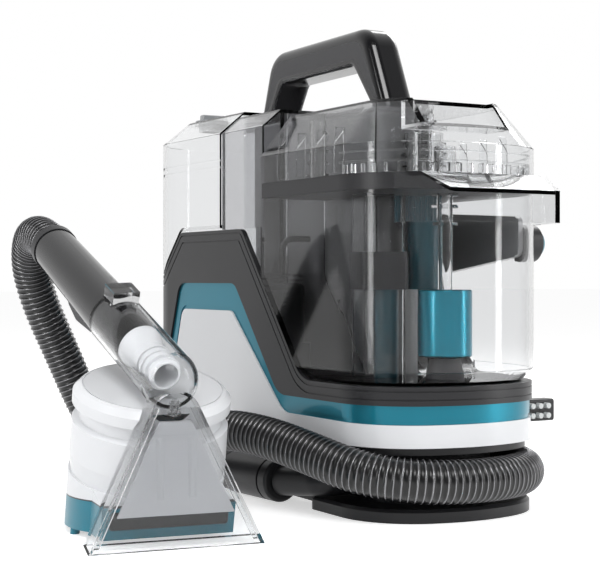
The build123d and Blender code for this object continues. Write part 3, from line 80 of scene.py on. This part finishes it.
BODY_CENTRE = (0, 0, 0.15)
NEAR_GLOSS = 0.1
FAR_GLOSS = 1.0
FILL_LIGHT = 0.5
FLOOR_GLOW = 0.57
area_lamp("key_lamp", (-0.5, -1.2, 1.5), BODY_CENTRE, (1.0, 0.6), 16)
area_lamp("right_strip", (1.1, -1.0, 0.45), BODY_CENTRE, (0.12, 1.3), 9)
area_lamp("left_strip", (-1.5, -0.25, 0.5), BODY_CENTRE, (0.2, 1.3), 9)
area_lamp("back_lamp", (1.2, 0.7, 1.3), BODY_CENTRE, (0.9, 0.7), 9)


def strongest(tree, values):
    """The largest of several values."""
    total = values[0]
    for value in values[1:]:
        both = tree.nodes.new("ShaderNodeMath")
        both.operation = "MAXIMUM"
        tree.links.new(total, both.inputs[0])
        tree.links.new(value, both.inputs[1])
        total = both.outputs[0]
    return total


def set_world():
    """A white studio: white to the eye and through clear parts, and darker in gloss on the near side."""
    world = bpy.data.worlds.new("studio")
    bpy.context.scene.world = world
    world.use_nodes = True
    tree = world.node_tree
    tree.nodes.clear()
    path = tree.nodes.new("ShaderNodeLightPath")
    place = tree.nodes.new("ShaderNodeTexCoord")
    facing = tree.nodes.new("ShaderNodeVectorMath")
    facing.operation = "DOT_PRODUCT"
    facing.inputs[1].default_value = (0.48, 0.87, 0.0)
    tree.links.new(place.outputs["Generated"], facing.inputs[0])
    shade = tree.nodes.new("ShaderNodeMapRange")
    shade.inputs["From Min"].default_value = -0.35
    shade.inputs["From Max"].default_value = 0.55
    shade.inputs["To Min"].default_value = NEAR_GLOSS
    shade.inputs["To Max"].default_value = FAR_GLOSS
    tree.links.new(facing.outputs["Value"], shade.inputs["Value"])
    glossy = tree.nodes.new("ShaderNodeBackground")
    glossy.inputs["Color"].default_value = (1, 1, 1, 1)
    tree.links.new(shade.outputs["Result"], glossy.inputs["Strength"])
    fill = tree.nodes.new("ShaderNodeBackground")
    fill.inputs["Color"].default_value = (1, 1, 1, 1)
    fill.inputs["Strength"].default_value = FILL_LIGHT
    white = tree.nodes.new("ShaderNodeBackground")
    white.inputs["Color"].default_value = (1, 1, 1, 1)
    white.inputs["Strength"].default_value = 1.0
    gloss_mix = tree.nodes.new("ShaderNodeMixShader")
    tree.links.new(path.outputs["Is Glossy Ray"], gloss_mix.inputs[0])
    tree.links.new(fill.outputs[0], gloss_mix.inputs[1])
    tree.links.new(glossy.outputs[0], gloss_mix.inputs[2])
    mix = tree.nodes.new("ShaderNodeMixShader")
    direct = strongest(tree, [path.outputs["Is Camera Ray"], path.outputs["Is Transmission Ray"]])
    tree.links.new(direct, mix.inputs[0])
    tree.links.new(gloss_mix.outputs[0], mix.inputs[1])
    tree.links.new(white.outputs[0], mix.inputs[2])
    out = tree.nodes.new("ShaderNodeOutputWorld")
    tree.links.new(mix.outputs[0], out.inputs[0])


def set_floor():
    """A plain pale floor that keeps the object's shadow."""
    bpy.ops.mesh.primitive_plane_add(size=30)
    floor = bpy.context.object
    floor.name = "floor"
    material = bpy.data.materials.new("floor")
    material.use_nodes = True
    tree = material.node_tree
    tree.nodes.clear()
    diffuse = tree.nodes.new("ShaderNodeBsdfDiffuse")
    diffuse.inputs["Color"].default_value = (0.8, 0.8, 0.8, 1)
    glow = tree.nodes.new("ShaderNodeEmission")
    share = tree.nodes.new("ShaderNodeMath")
    share.operation = "MULTIPLY"
    share.inputs[1].default_value = FLOOR_GLOW
    path = tree.nodes.new("ShaderNodeLightPath")
    rays = [path.outputs[f"Is {ray} Ray"] for ray in ("Camera", "Glossy", "Transmission")]
    tree.links.new(strongest(tree, rays), share.inputs[0])
    tree.links.new(share.outputs[0], glow.inputs["Strength"])
    total = tree.nodes.new("ShaderNodeAddShader")
    out = tree.nodes.new("ShaderNodeOutputMaterial")
    tree.links.new(diffuse.outputs[0], total.inputs[0])
    tree.links.new(glow.outputs[0], total.inputs[1])
    tree.links.new(total.outputs[0], out.inputs[0])
    floor.data.materials.append(material)


set_world()
set_floor()
bpy.context.scene.view_settings.view_transform = "Standard"


# ---------------------------------------------------------------- materials
def noise(tree, scale, detail=3.0):
    """A noise texture in the object's own metres."""
    place = tree.nodes.new("ShaderNodeTexCoord")
    texture = tree.nodes.new("ShaderNodeTexNoise")
    texture.inputs["Scale"].default_value = scale
    texture.inputs["Detail"].default_value = detail
    tree.links.new(place.outputs["Object"], texture.inputs["Vector"])
    return texture.outputs["Fac"]


def spread(tree, value, low, high):
    """Stretch a 0 to 1 value between two limits."""
    ranged = tree.nodes.new("ShaderNodeMapRange")
    ranged.inputs["To Min"].default_value = low
    ranged.inputs["To Max"].default_value = high
    tree.links.new(value, ranged.inputs["Value"])
    return ranged.outputs["Result"]


GRAIN_SCALE = 1800.0
GRAIN_HEIGHT = 0.0001


def plastic(name, colour, roughness, metallic=0.0, coat=0.0, shine=0.5, grain=0.1, tone=0.03):
    """Moulded plastic: a fine grain in relief, a slightly uneven gloss and a slight change of tone."""
    material = bpy.data.materials.new(name)
    material.use_nodes = True
    tree = material.node_tree
    shader = tree.nodes["Principled BSDF"]
    shader.inputs["Metallic"].default_value = metallic
    shader.inputs["Specular IOR Level"].default_value = shine
    shader.inputs["Coat Weight"].default_value = coat
    shader.inputs["Coat Roughness"].default_value = 0.06
    mix = tree.nodes.new("ShaderNodeMix")
    mix.data_type = "RGBA"
    mix.inputs["A"].default_value = (*[c * (1 - tone) for c in colour], 1)
    mix.inputs["B"].default_value = (*[min(1, c * (1 + tone)) for c in colour], 1)
    tree.links.new(noise(tree, 14), mix.inputs["Factor"])
    tree.links.new(mix.outputs["Result"], shader.inputs["Base Color"])
    gloss = spread(tree, noise(tree, 60), roughness * 0.93, roughness * 1.07)
    tree.links.new(gloss, shader.inputs["Roughness"])
    relief = tree.nodes.new("ShaderNodeBump")
    relief.inputs["Strength"].default_value = grain
    relief.inputs["Distance"].default_value = GRAIN_HEIGHT
    tree.links.new(noise(tree, GRAIN_SCALE, 2.0), relief.inputs["Height"])
    tree.links.new(relief.outputs["Normal"], shader.inputs["Normal"])
    return material


def clear(name, colour, depth, roughness=0.02, ior=1.25):
    """Clear moulded plastic: depth is how strongly it darkens what is seen along its walls, per metre."""
    material = bpy.data.materials.new(name)
    material.use_nodes = True
    tree = material.node_tree
    shader = tree.nodes["Principled BSDF"]
    shader.inputs["Base Color"].default_value = (*colour, 1)
    shader.inputs["Transmission Weight"].default_value = 1.0
    shader.inputs["IOR"].default_value = ior
    gloss = spread(tree, noise(tree, 25), roughness * 0.7, roughness * 1.3)
    tree.links.new(gloss, shader.inputs["Roughness"])
    inside = tree.nodes.new("ShaderNodeVolumeAbsorption")
    inside.inputs["Color"].default_value = (0, 0, 0, 1)
    inside.inputs["Density"].default_value = depth
    tree.links.new(inside.outputs[0], tree.nodes["Material Output"].inputs["Volume"])
    return material


JOINT_LINE = (0.01, 0.012, 0.014)


def two_tone(name, low, high, split, line):
    """Plastic moulded in two colours that meet at a height, with a dark joint line between them."""
    material = plastic(name, low, 0.3, grain=0.02)
    tree = material.node_tree
    shader = tree.nodes["Principled BSDF"]
    base = shader.inputs["Base Color"].links[0].from_socket
    place = tree.nodes.new("ShaderNodeTexCoord")
    parts = tree.nodes.new("ShaderNodeSeparateXYZ")
    tree.links.new(place.outputs["Object"], parts.inputs[0])
    for height, colour in ((split, JOINT_LINE), (split + line, high)):
        above = tree.nodes.new("ShaderNodeMath")
        above.operation = "GREATER_THAN"
        above.inputs[1].default_value = height
        tree.links.new(parts.outputs["Z"], above.inputs[0])
        mix = tree.nodes.new("ShaderNodeMix")
        mix.data_type = "RGBA"
        mix.inputs["B"].default_value = (*colour, 1)
        tree.links.new(above.outputs[0], mix.inputs["Factor"])
        tree.links.new(base, mix.inputs["A"])
        base = mix.outputs["Result"]
    tree.links.new(base, shader.inputs["Base Color"])
    return material


TEAL = (0.0, 0.165, 0.235)
WHITE = (0.72, 0.73, 0.75)
materials = {
    "dark_plastic": plastic("dark_plastic", (0.022, 0.022, 0.024), 0.36, shine=0.3, grain=0.03),
    "black_gloss": plastic("black_gloss", (0.005, 0.005, 0.006), 0.14, shine=0.6, grain=0.01),
    "grey_plastic": plastic("grey_plastic", (0.055, 0.055, 0.058), 0.5, shine=0.3, grain=0.03),
    "pale_plastic": plastic("pale_plastic", (0.42, 0.43, 0.45), 0.35, grain=0.02),
    "mid_grey_plastic": plastic("mid_grey_plastic", (0.2, 0.2, 0.208), 0.32, grain=0.02),
    "cap_plastic": plastic("cap_plastic", (0.3, 0.31, 0.32), 0.2, coat=0.5, grain=0.01),
    "white_plastic": plastic("white_plastic", WHITE, 0.22, grain=0.01, tone=0.01),
    "teal_plastic": plastic("teal_plastic", TEAL, 0.3, metallic=0.75, coat=0.3, grain=0.01),
    "dark_teal": plastic("dark_teal", (0.003, 0.05, 0.07), 0.3, shine=0.4, grain=0.0),
    "clear_plastic": clear("clear_plastic", (0.97, 0.975, 0.98), 26.0),
    "smoky_plastic": clear("smoky_plastic", (0.92, 0.92, 0.93), 40.0),
    "hose_plastic": plastic("hose_plastic", (0.0045, 0.0045, 0.005), 0.3, shine=0.45, grain=0.01),
    # Painted highlight: a lighter grey metallic finish on the hose's ring crests, standing in for the shine
    # along each ring.
    "hose_crest_highlight": plastic("hose_crest_highlight", (0.24, 0.24, 0.25), 0.25, metallic=0.6, grain=0.01),
    "pad_rubber": plastic("pad_rubber", (0.025, 0.025, 0.025), 0.75, grain=0.1),
    "motor_steel": plastic("motor_steel", (0.45, 0.45, 0.47), 0.35, metallic=1.0, grain=0.1),
    "board": plastic("board", (0.012, 0.1, 0.04), 0.4, grain=0.03),
    "bristle": plastic("bristle", (0.62, 0.64, 0.64), 0.55, grain=0.1),
    "dark_bristle": plastic("dark_bristle", (0.02, 0.02, 0.024), 0.5, grain=0.1),
    # The side arm's grey is partly its own colour and partly painted light: the base is raised to stand in
    # for lamp light that the clear tanks keep off it.
    "arm_grey_with_painted_light": plastic("arm_grey_with_painted_light", (0.42, 0.42, 0.43), 0.3, grain=0.02),
    "fitting_plastic": clear("fitting_plastic", (0.93, 0.935, 0.94), 45.0, ior=1.42),
    "skirt_plastic": two_tone("skirt_plastic", TEAL, WHITE, 0.0235, 0.0009),
}
own_slots = {
    "nozzle_plate": "pale_plastic",
    "spine_housing": "mid_grey_plastic",
    "side_arm": "arm_grey_with_painted_light",
    "filler_cap": "cap_plastic",
    "brush_skirt": "skirt_plastic",
}
for part in frame["record"]["subparts"]:
    mesh = nodes[part["node"]].data
    mesh.materials.clear()
    mesh.materials.append(materials[own_slots.get(part["node"], part["material_slot"])])


# ---------------------------------------------------------------- mesh helpers
def add_piece(name, mesh, body, slot, smooth=True, finish=None):
    """Put a mesh in the scene as a piece that rides on a body and takes a slot's finish, or another one."""
    piece = bpy.data.objects.new(name, mesh)
    bpy.context.scene.collection.objects.link(piece)
    mesh.materials.clear()
    mesh.materials.append(materials[finish or slot])
    for polygon in mesh.polygons:
        polygon.use_smooth = smooth
    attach(piece, body)
    return piece


def lathe(name, profile, place, axis=(0, 0, 1), sides=40):
    """A closed body turned about an axis through a place, from radius and height in millimetres."""
    tilt = Vector((0, 0, 1)).rotation_difference(Vector(axis))
    mesh = bpy.data.meshes.new(name)
    work = bmesh.new()
    rings = []
    for radius, height in profile:
        ring = []
        for k in range(sides):
            angle = 2 * math.pi * k / sides
            spot = Vector((radius * math.cos(angle), radius * math.sin(angle), height))
            ring.append(work.verts.new((Vector(place) + tilt @ spot) * MM))
        rings.append(ring)
    for ring, following in zip(rings, rings[1:] + rings[:1]):
        for k in range(sides):
            n = (k + 1) % sides
            work.faces.new((ring[k], ring[n], following[n], following[k]))
    bmesh.ops.recalc_face_normals(work, faces=work.faces)
    work.to_mesh(mesh)
    work.free()
    return mesh


def slab(name, corners, low, high, bevel=0.6):
    """A block with rounded edges over a plan given as corners in millimetres."""
    mesh = bpy.data.meshes.new(name)
    work = bmesh.new()
    floor = [work.verts.new(Vector((x, y, low)) * MM) for x, y in corners]
    top = [work.verts.new(Vector((x, y, high)) * MM) for x, y in corners]
    work.faces.new(list(reversed(floor)))
    work.faces.new(top)
    for k in range(len(corners)):
        n = (k + 1) % len(corners)
        work.faces.new((floor[k], floor[n], top[n], top[k]))
    bmesh.ops.recalc_face_normals(work, faces=work.faces)
    bmesh.ops.bevel(work, geom=list(work.edges), offset=bevel * MM, segments=2, affect="EDGES", profile=0.5)
    work.to_mesh(mesh)
    work.free()
    return mesh


def hull(name, spots, bevel=0.2):
    """A rounded convex body round places given in millimetres."""
    mesh = bpy.data.meshes.new(name)
    work = bmesh.new()
    for spot in spots:
        work.verts.new(spot * MM)
    bmesh.ops.convex_hull(work, input=list(work.verts))
    bmesh.ops.dissolve_limit(work, angle_limit=0.02, verts=list(work.verts), edges=list(work.edges))
    bmesh.ops.bevel(work, geom=list(work.edges), offset=bevel * MM, segments=2, affect="EDGES", profile=0.5)
    bmesh.ops.recalc_face_normals(work, faces=work.faces)
    work.to_mesh(mesh)
    work.free()
    return mesh


def line_length(points):
    """Length of a line of points."""
    return sum((end - start).length for start, end in zip(points, points[1:]))


def along(points, stations):
    """The places at given distances, in rising order, along a line of points."""
    places = []
    travelled = 0.0
    waiting = list(stations)
    for start, end in zip(points, points[1:]):
        run = (end - start).length
        while waiting and run and waiting[0] <= travelled + run:
            places.append(start.lerp(end, (waiting.pop(0) - travelled) / run))
        travelled += run
    return places


def add_fitting(name, mesh, body="dirty_tank"):
    """A small moulded fitting in clear plastic."""
    add_piece(name, mesh, body, "clear_plastic", smooth=False, finish="fitting_plastic")


# ---------------------------------------------------------------- fittings under the tank's lid
def stack(radius, low, high, flanges, wall=1.6):
    """Profile of a tube with flanges on it; each flange is a height, a thickness and a reach."""
    outside = [(radius, low)]
    for height, thickness, reach in flanges:
        outside.append((radius, height))
        outside.append((radius + reach, height))
        outside.append((radius + reach, height + thickness))
        outside.append((radius, height + thickness))
    outside.append((radius, high))
    return [*outside, (radius - wall, high), (radius - wall, low)]


PLATE_TOP = 229.2
RISER_PLACE = (8.5, -109.5, 0)
VALVE_PLACE = (-50, -62, 0)
FLOAT_PLACE = (3, -143, 0)
riser_flanges = [(231, 2, 4), (238, 1.5, 2), (246, 2, 3), (254, 1.5, 2)]
stem_flanges = [(264, 1.5, 2), (270, 1.5, 2)]
valve_flanges = [(233, 1.5, 3), (241, 2, 2), (250, 1.5, 3), (262, 2, 1.5)]
gland_flanges = [(229.4, 2.5, 4), (238, 1.5, 2)]
fittings = {
    "riser_cap": (stack(13.5, PLATE_TOP, 262, riser_flanges), RISER_PLACE),
    "riser_stem": (stack(6.5, 262, 276, stem_flanges), RISER_PLACE),
    "valve_stack": (stack(6, PLATE_TOP, 272, valve_flanges), VALVE_PLACE),
    "float_gland": (stack(7.5, PLATE_TOP, 250, gland_flanges), FLOAT_PLACE),
}
for name, (profile, place) in fittings.items():
    add_fitting(name, lathe(name, profile, place))


# ---------------------------------------------------------------- ribs, hoops and teeth of the lid
LID_CENTRE = Vector((0, -95))
LID_BACK = -48
RIB_PLACES = (-44, -72, -98, -122)
RIB_HEIGHTS = (231, 262)
RIB_HALF = 0.8
RIB_REACH = 7
RIB_WALL_GAP = 1.4
WALL_GAP = 2.7
HOOP_REACH = 4.2
HOOP_HEIGHTS = ((236.2, 237.6), (243.0, 244.2))
TOOTH_PITCH = 8.5
TOOTH_HALF = 0.7
TOOTH_REACH = 5.0
TOOTH_HEIGHTS = (229.6, 235.6)


def side_x(y):
    """Half the body's width at a place along its straight side, which tapers towards the nose."""
    return 76.5 - 4.5 * (7 - y) / 179


def lid_outline(inset):
    """Plan of the lid's wall from its left back round the nose to its right back, moved in by inset."""
    lid = nodes["tank_lid"]
    spots = [(lid.matrix_world @ vertex.co).to_2d() / MM for vertex in lid.data.vertices]
    rim = [spots[k] for k in geometry.convex_hull_2d(spots)]
    nose = [spot for spot in rim if spot.y < LID_BACK]
    nose.sort(key=lambda spot: math.atan2(spot.x - LID_CENTRE.x, LID_CENTRE.y - spot.y))
    return [spot - (spot - LID_CENTRE).normalized() * inset for spot in nose]


for index, y in enumerate(RIB_PLACES):
    for side, word in ((-1, "left"), (1, "right")):
        root = side * (side_x(y) - RIB_WALL_GAP)
        end = root - side * RIB_REACH
        corners = [(root, y - RIB_HALF), (root, y + RIB_HALF), (end, y + RIB_HALF), (end, y - RIB_HALF)]
        rib = slab(f"lid_rib_{word}_{index}", corners, *RIB_HEIGHTS)
        add_piece(f"lid_rib_{word}_{index}", rib, "tank_lid", "clear_plastic", smooth=False)
for index, (low, high) in enumerate(HOOP_HEIGHTS):
    corners = [*lid_outline(HOOP_REACH), *reversed(lid_outline(WALL_GAP))]
    hoop = slab(f"lid_hoop_{index}", corners, low, high, bevel=0.1)
    add_fitting(f"lid_hoop_{index}", hoop, "tank_lid")
wall_line = [spot.to_3d() for spot in lid_outline(WALL_GAP)]
tooth_count = int(line_length(wall_line) / TOOTH_PITCH)
tooth_stations = [(k + 0.5) * TOOTH_PITCH for k in range(tooth_count)]
for index, spot in enumerate(along(wall_line, tooth_stations)):
    inward = (LID_CENTRE.to_3d() - spot).normalized()
    across = Vector((-inward.y, inward.x, 0)) * TOOTH_HALF
    end = spot + inward * TOOTH_REACH
    corners = [(c.x, c.y) for c in (spot - across, spot + across, end + across, end - across)]
    tooth = slab(f"lid_tooth_{index}", corners, *TOOTH_HEIGHTS, bevel=0.2)
    add_fitting(f"lid_tooth_{index}", tooth, "tank_lid")


# ---------------------------------------------------------------- nozzle and neck of the brush tool
HEAD_ORIGIN = Vector((-213, -180.5, 0))
HEAD_X = Vector((0.991445, -0.130526, 0))
HEAD_Z = Vector((-0.035978, -0.273279, 0.961262))
HEAD_Y = HEAD_Z.cross(HEAD_X)
LEAN_OF_FRONT = 0.35
LIP_HALF = 54
SIDE_SLOPE = 0.5
RAIL_SPAN = (2, 77)
RAIL_INSETS = (2.8, 5.8)
RAIL_DEPTHS = (2.6, 4.8)
RIDGE_PLACE = 10
RIDGE_HALF = 2.9
RIDGE_SPAN = (26, 62)
RIDGE_DEPTHS = (3.4, 4.2)
CREST_FOOT = (1.1, 2.5, 29)
CREST_TOP = (0, 2.6, 59)
BROW_SPAN = (62.5, 69.8)
BROW_INSET = 8.9
BROW_DEPTHS = (2.7, 3.6)
SPIGOT_PLACE = (0, 6.0, 73)
NECK_AXIS = Vector((-0.018, 0.9215, 0.3881)).normalized()
NECK_MOUTH = Vector((-210.06, -165.6, 96.3))
LINE_RADIUS = 13.6


def head_spot(x, depth, height):
    """A place in the tool's head: across, behind the nozzle's leaning front, and up."""
    return HEAD_ORIGIN + x * HEAD_X + (LEAN_OF_FRONT * height + depth) * HEAD_Y + height * HEAD_Z


def nozzle_sides(height, low_inset, high_inset, low_side, high_side):
    """Two places across the nozzle at a height, each moved in from the wall on its own side."""
    half = LIP_HALF - SIDE_SLOPE * height
    return low_side * (half - low_inset), high_side * (half - high_inset)


def bar(span, sides, depths):
    """The eight corners of a bar in the head, from its foot to its top; sides gives x at both heights."""
    return [
        head_spot(x, depth, height)
        for height, across in zip(span, sides)
        for x in across
        for depth in depths
    ]


for side, word in ((-1, "left"), (1, "right")):
    rail_sides = [nozzle_sides(height, *RAIL_INSETS, side, side) for height in RAIL_SPAN]
    rail = hull(f"nozzle_rail_{word}", bar(RAIL_SPAN, rail_sides, RAIL_DEPTHS))
    add_fitting(f"nozzle_rail_{word}", rail, "machine")
    centre = side * RIDGE_PLACE
    ridge_sides = [(centre - RIDGE_HALF, centre + RIDGE_HALF)] * 2
    crest = [head_spot(centre + x, *CREST_FOOT[1:]) for x in (-CREST_FOOT[0], CREST_FOOT[0])]
    crest.append(head_spot(centre + CREST_TOP[0], *CREST_TOP[1:]))
    ridge = hull(f"plate_ridge_{word}", [*bar(RIDGE_SPAN, ridge_sides, RIDGE_DEPTHS), *crest], bevel=0.15)
    add_piece(f"plate_ridge_{word}", ridge, "machine", "pale_plastic", smooth=False)
brow_sides = [nozzle_sides(height, BROW_INSET, BROW_INSET, -1, 1) for height in BROW_SPAN]
brow = hull("plate_brow", bar(BROW_SPAN, brow_sides, BROW_DEPTHS), bevel=0.15)
add_piece("plate_brow", brow, "machine", "pale_plastic", smooth=False)
spigot = stack(2.4, 0, 9, [(0, 1.2, 1.6), (3.4, 1.0, 1.0), (6.6, 1.0, 1.0)], wall=1.0)
add_fitting("nozzle_spigot", lathe("nozzle_spigot", spigot, head_spot(*SPIGOT_PLACE), axis=HEAD_Z), "machine")
neck_left = Vector((0, 0, 1)).cross(NECK_AXIS).normalized()
neck_down = neck_left.cross(NECK_AXIS).normalized()
line_side = (neck_left * 0.94 + neck_down * 0.34).normalized()
line_rings = [(4, 1.5, 0.6), (8, 1.0, 0.6), (11, 1.0, 0.6), (14, 1.0, 0.6), (20, 2.0, 0.6)]
spray_line = stack(1.6, 3, 30, line_rings, wall=0.8)
line_place = NECK_MOUTH + line_side * LINE_RADIUS
add_fitting("spray_line", lathe("spray_line", spray_line, line_place, axis=NECK_AXIS, sides=24), "machine")


# ---------------------------------------------------------------- hose
HOSE_RADIUS = 0.0145
RIB_PITCH = 0.00425
RING_SIDES = 32
RIB_CREST = (2, 3)
RIB_DEPTH = 0.0009
RIB_PROFILE = ((0.0, 1.0), (0.32, 1.0), (0.41, 0.35), (0.5, 0.0), (0.59, 0.35), (0.68, 1.0))
hose_route = [
    (-0.088, -0.008, 0.0175),
    (-0.0932, 0.0417, 0.0178),
    (-0.090, 0.098, 0.021),
    (-0.079, 0.152, 0.026),
    (-0.046, 0.186, 0.027),
    (0.003, 0.189, 0.027),
    (0.052, 0.184, 0.027),
    (0.079, 0.150, 0.027),
    (0.082, 0.094, 0.027),
    (0.0795, 0.034, 0.027),
    (0.078, -0.026, 0.027),
    (0.0755, -0.084, 0.027),
    (0.072, -0.138, 0.027),
    (0.045, -0.178, 0.027),
    (0.001, -0.192, 0.027),
    (-0.045, -0.186, 0.028),
    (-0.076, -0.158, 0.033),
    (-0.090, -0.118, 0.043),
    (-0.103, -0.078, 0.051),
    (-0.115, -0.038, 0.053),
    (-0.123, 0.002, 0.041),
    (-0.128, 0.042, 0.022),
    (-0.134, 0.080, 0.0155),
    (-0.146, 0.108, 0.028),
    (-0.163, 0.117, 0.062),
    (-0.181, 0.119, 0.104),
    (-0.199, 0.115, 0.140),
    (-0.209, 0.109, 0.168),
    (-0.2145, 0.089, 0.190),
    (-0.2146, 0.065, 0.1934),
    (-0.2141, 0.0408, 0.1832),
]


def spline_points(route, resolution=24):
    """Points along the smooth line that has the route as its control points."""
    data = bpy.data.curves.new("route", "CURVE")
    data.dimensions = "3D"
    data.resolution_u = resolution
    spline = data.splines.new("NURBS")
    spline.points.add(len(route) - 1)
    for point, place in zip(spline.points, route):
        point.co = (*place, 1)
    spline.order_u = 3
    spline.use_endpoint_u = True
    carrier = bpy.data.objects.new("route", data)
    bpy.context.scene.collection.objects.link(carrier)
    bpy.context.view_layer.update()
    mesh = bpy.data.meshes.new_from_object(carrier)
    points = [vertex.co.copy() for vertex in mesh.vertices]
    bpy.data.objects.remove(carrier)
    return points


def tube_mesh(name, centres, radii, segments):
    """A closed tube through centres, with a radius at each of them."""
    mesh = bpy.data.meshes.new(name)
    work = bmesh.new()
    tangent = (centres[1] - centres[0]).normalized()
    across = tangent.orthogonal().normalized()
    rings = []
    for index, (centre, radius) in enumerate(zip(centres, radii)):
        ahead = centres[min(index + 1, len(centres) - 1)]
        behind = centres[max(index - 1, 0)]
        new_tangent = (ahead - behind).normalized()
        across = tangent.rotation_difference(new_tangent) @ across
        tangent = new_tangent
        up = tangent.cross(across)
        ring = []
        for k in range(segments):
            angle = 2 * math.pi * k / segments
            ring.append(work.verts.new(centre + radius * (math.cos(angle) * across + math.sin(angle) * up)))
        rings.append(ring)
    for ring, following in zip(rings, rings[1:]):
        for k in range(segments):
            n = (k + 1) % segments
            work.faces.new((ring[k], ring[n], following[n], following[k]))
    work.faces.new(list(reversed(rings[0])))
    work.faces.new(rings[-1])
    work.to_mesh(mesh)
    work.free()
    return mesh


def hose_tube_mesh(path):
    """The hose: a smooth tube with thin raised rings at an even pitch."""
    total = line_length(path)
    stations = []
    radii = []
    for k in range(int(total / RIB_PITCH)):
        for share, drop in RIB_PROFILE:
            stations.append((k + share) * RIB_PITCH)
            radii.append(HOSE_RADIUS - RIB_DEPTH * drop)
    stations.append(total - 1e-6)
    radii.append(HOSE_RADIUS - RIB_DEPTH)
    return tube_mesh("hose_tube", along(path, stations), radii, RING_SIDES)


hose_path = spline_points(hose_route)
hose_tube = add_piece("hose_tube", hose_tube_mesh(hose_path), "machine", "hose_plastic")
hose_tube.data.materials.append(materials["hose_crest_highlight"])
# The crest faces of each ring take the second finish, a painted highlight along the ring.
for polygon in hose_tube.data.polygons:
    ring = polygon.index // RING_SIDES % len(RIB_PROFILE)
    if ring in RIB_CREST:
        polygon.material_index = 1
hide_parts("hose")
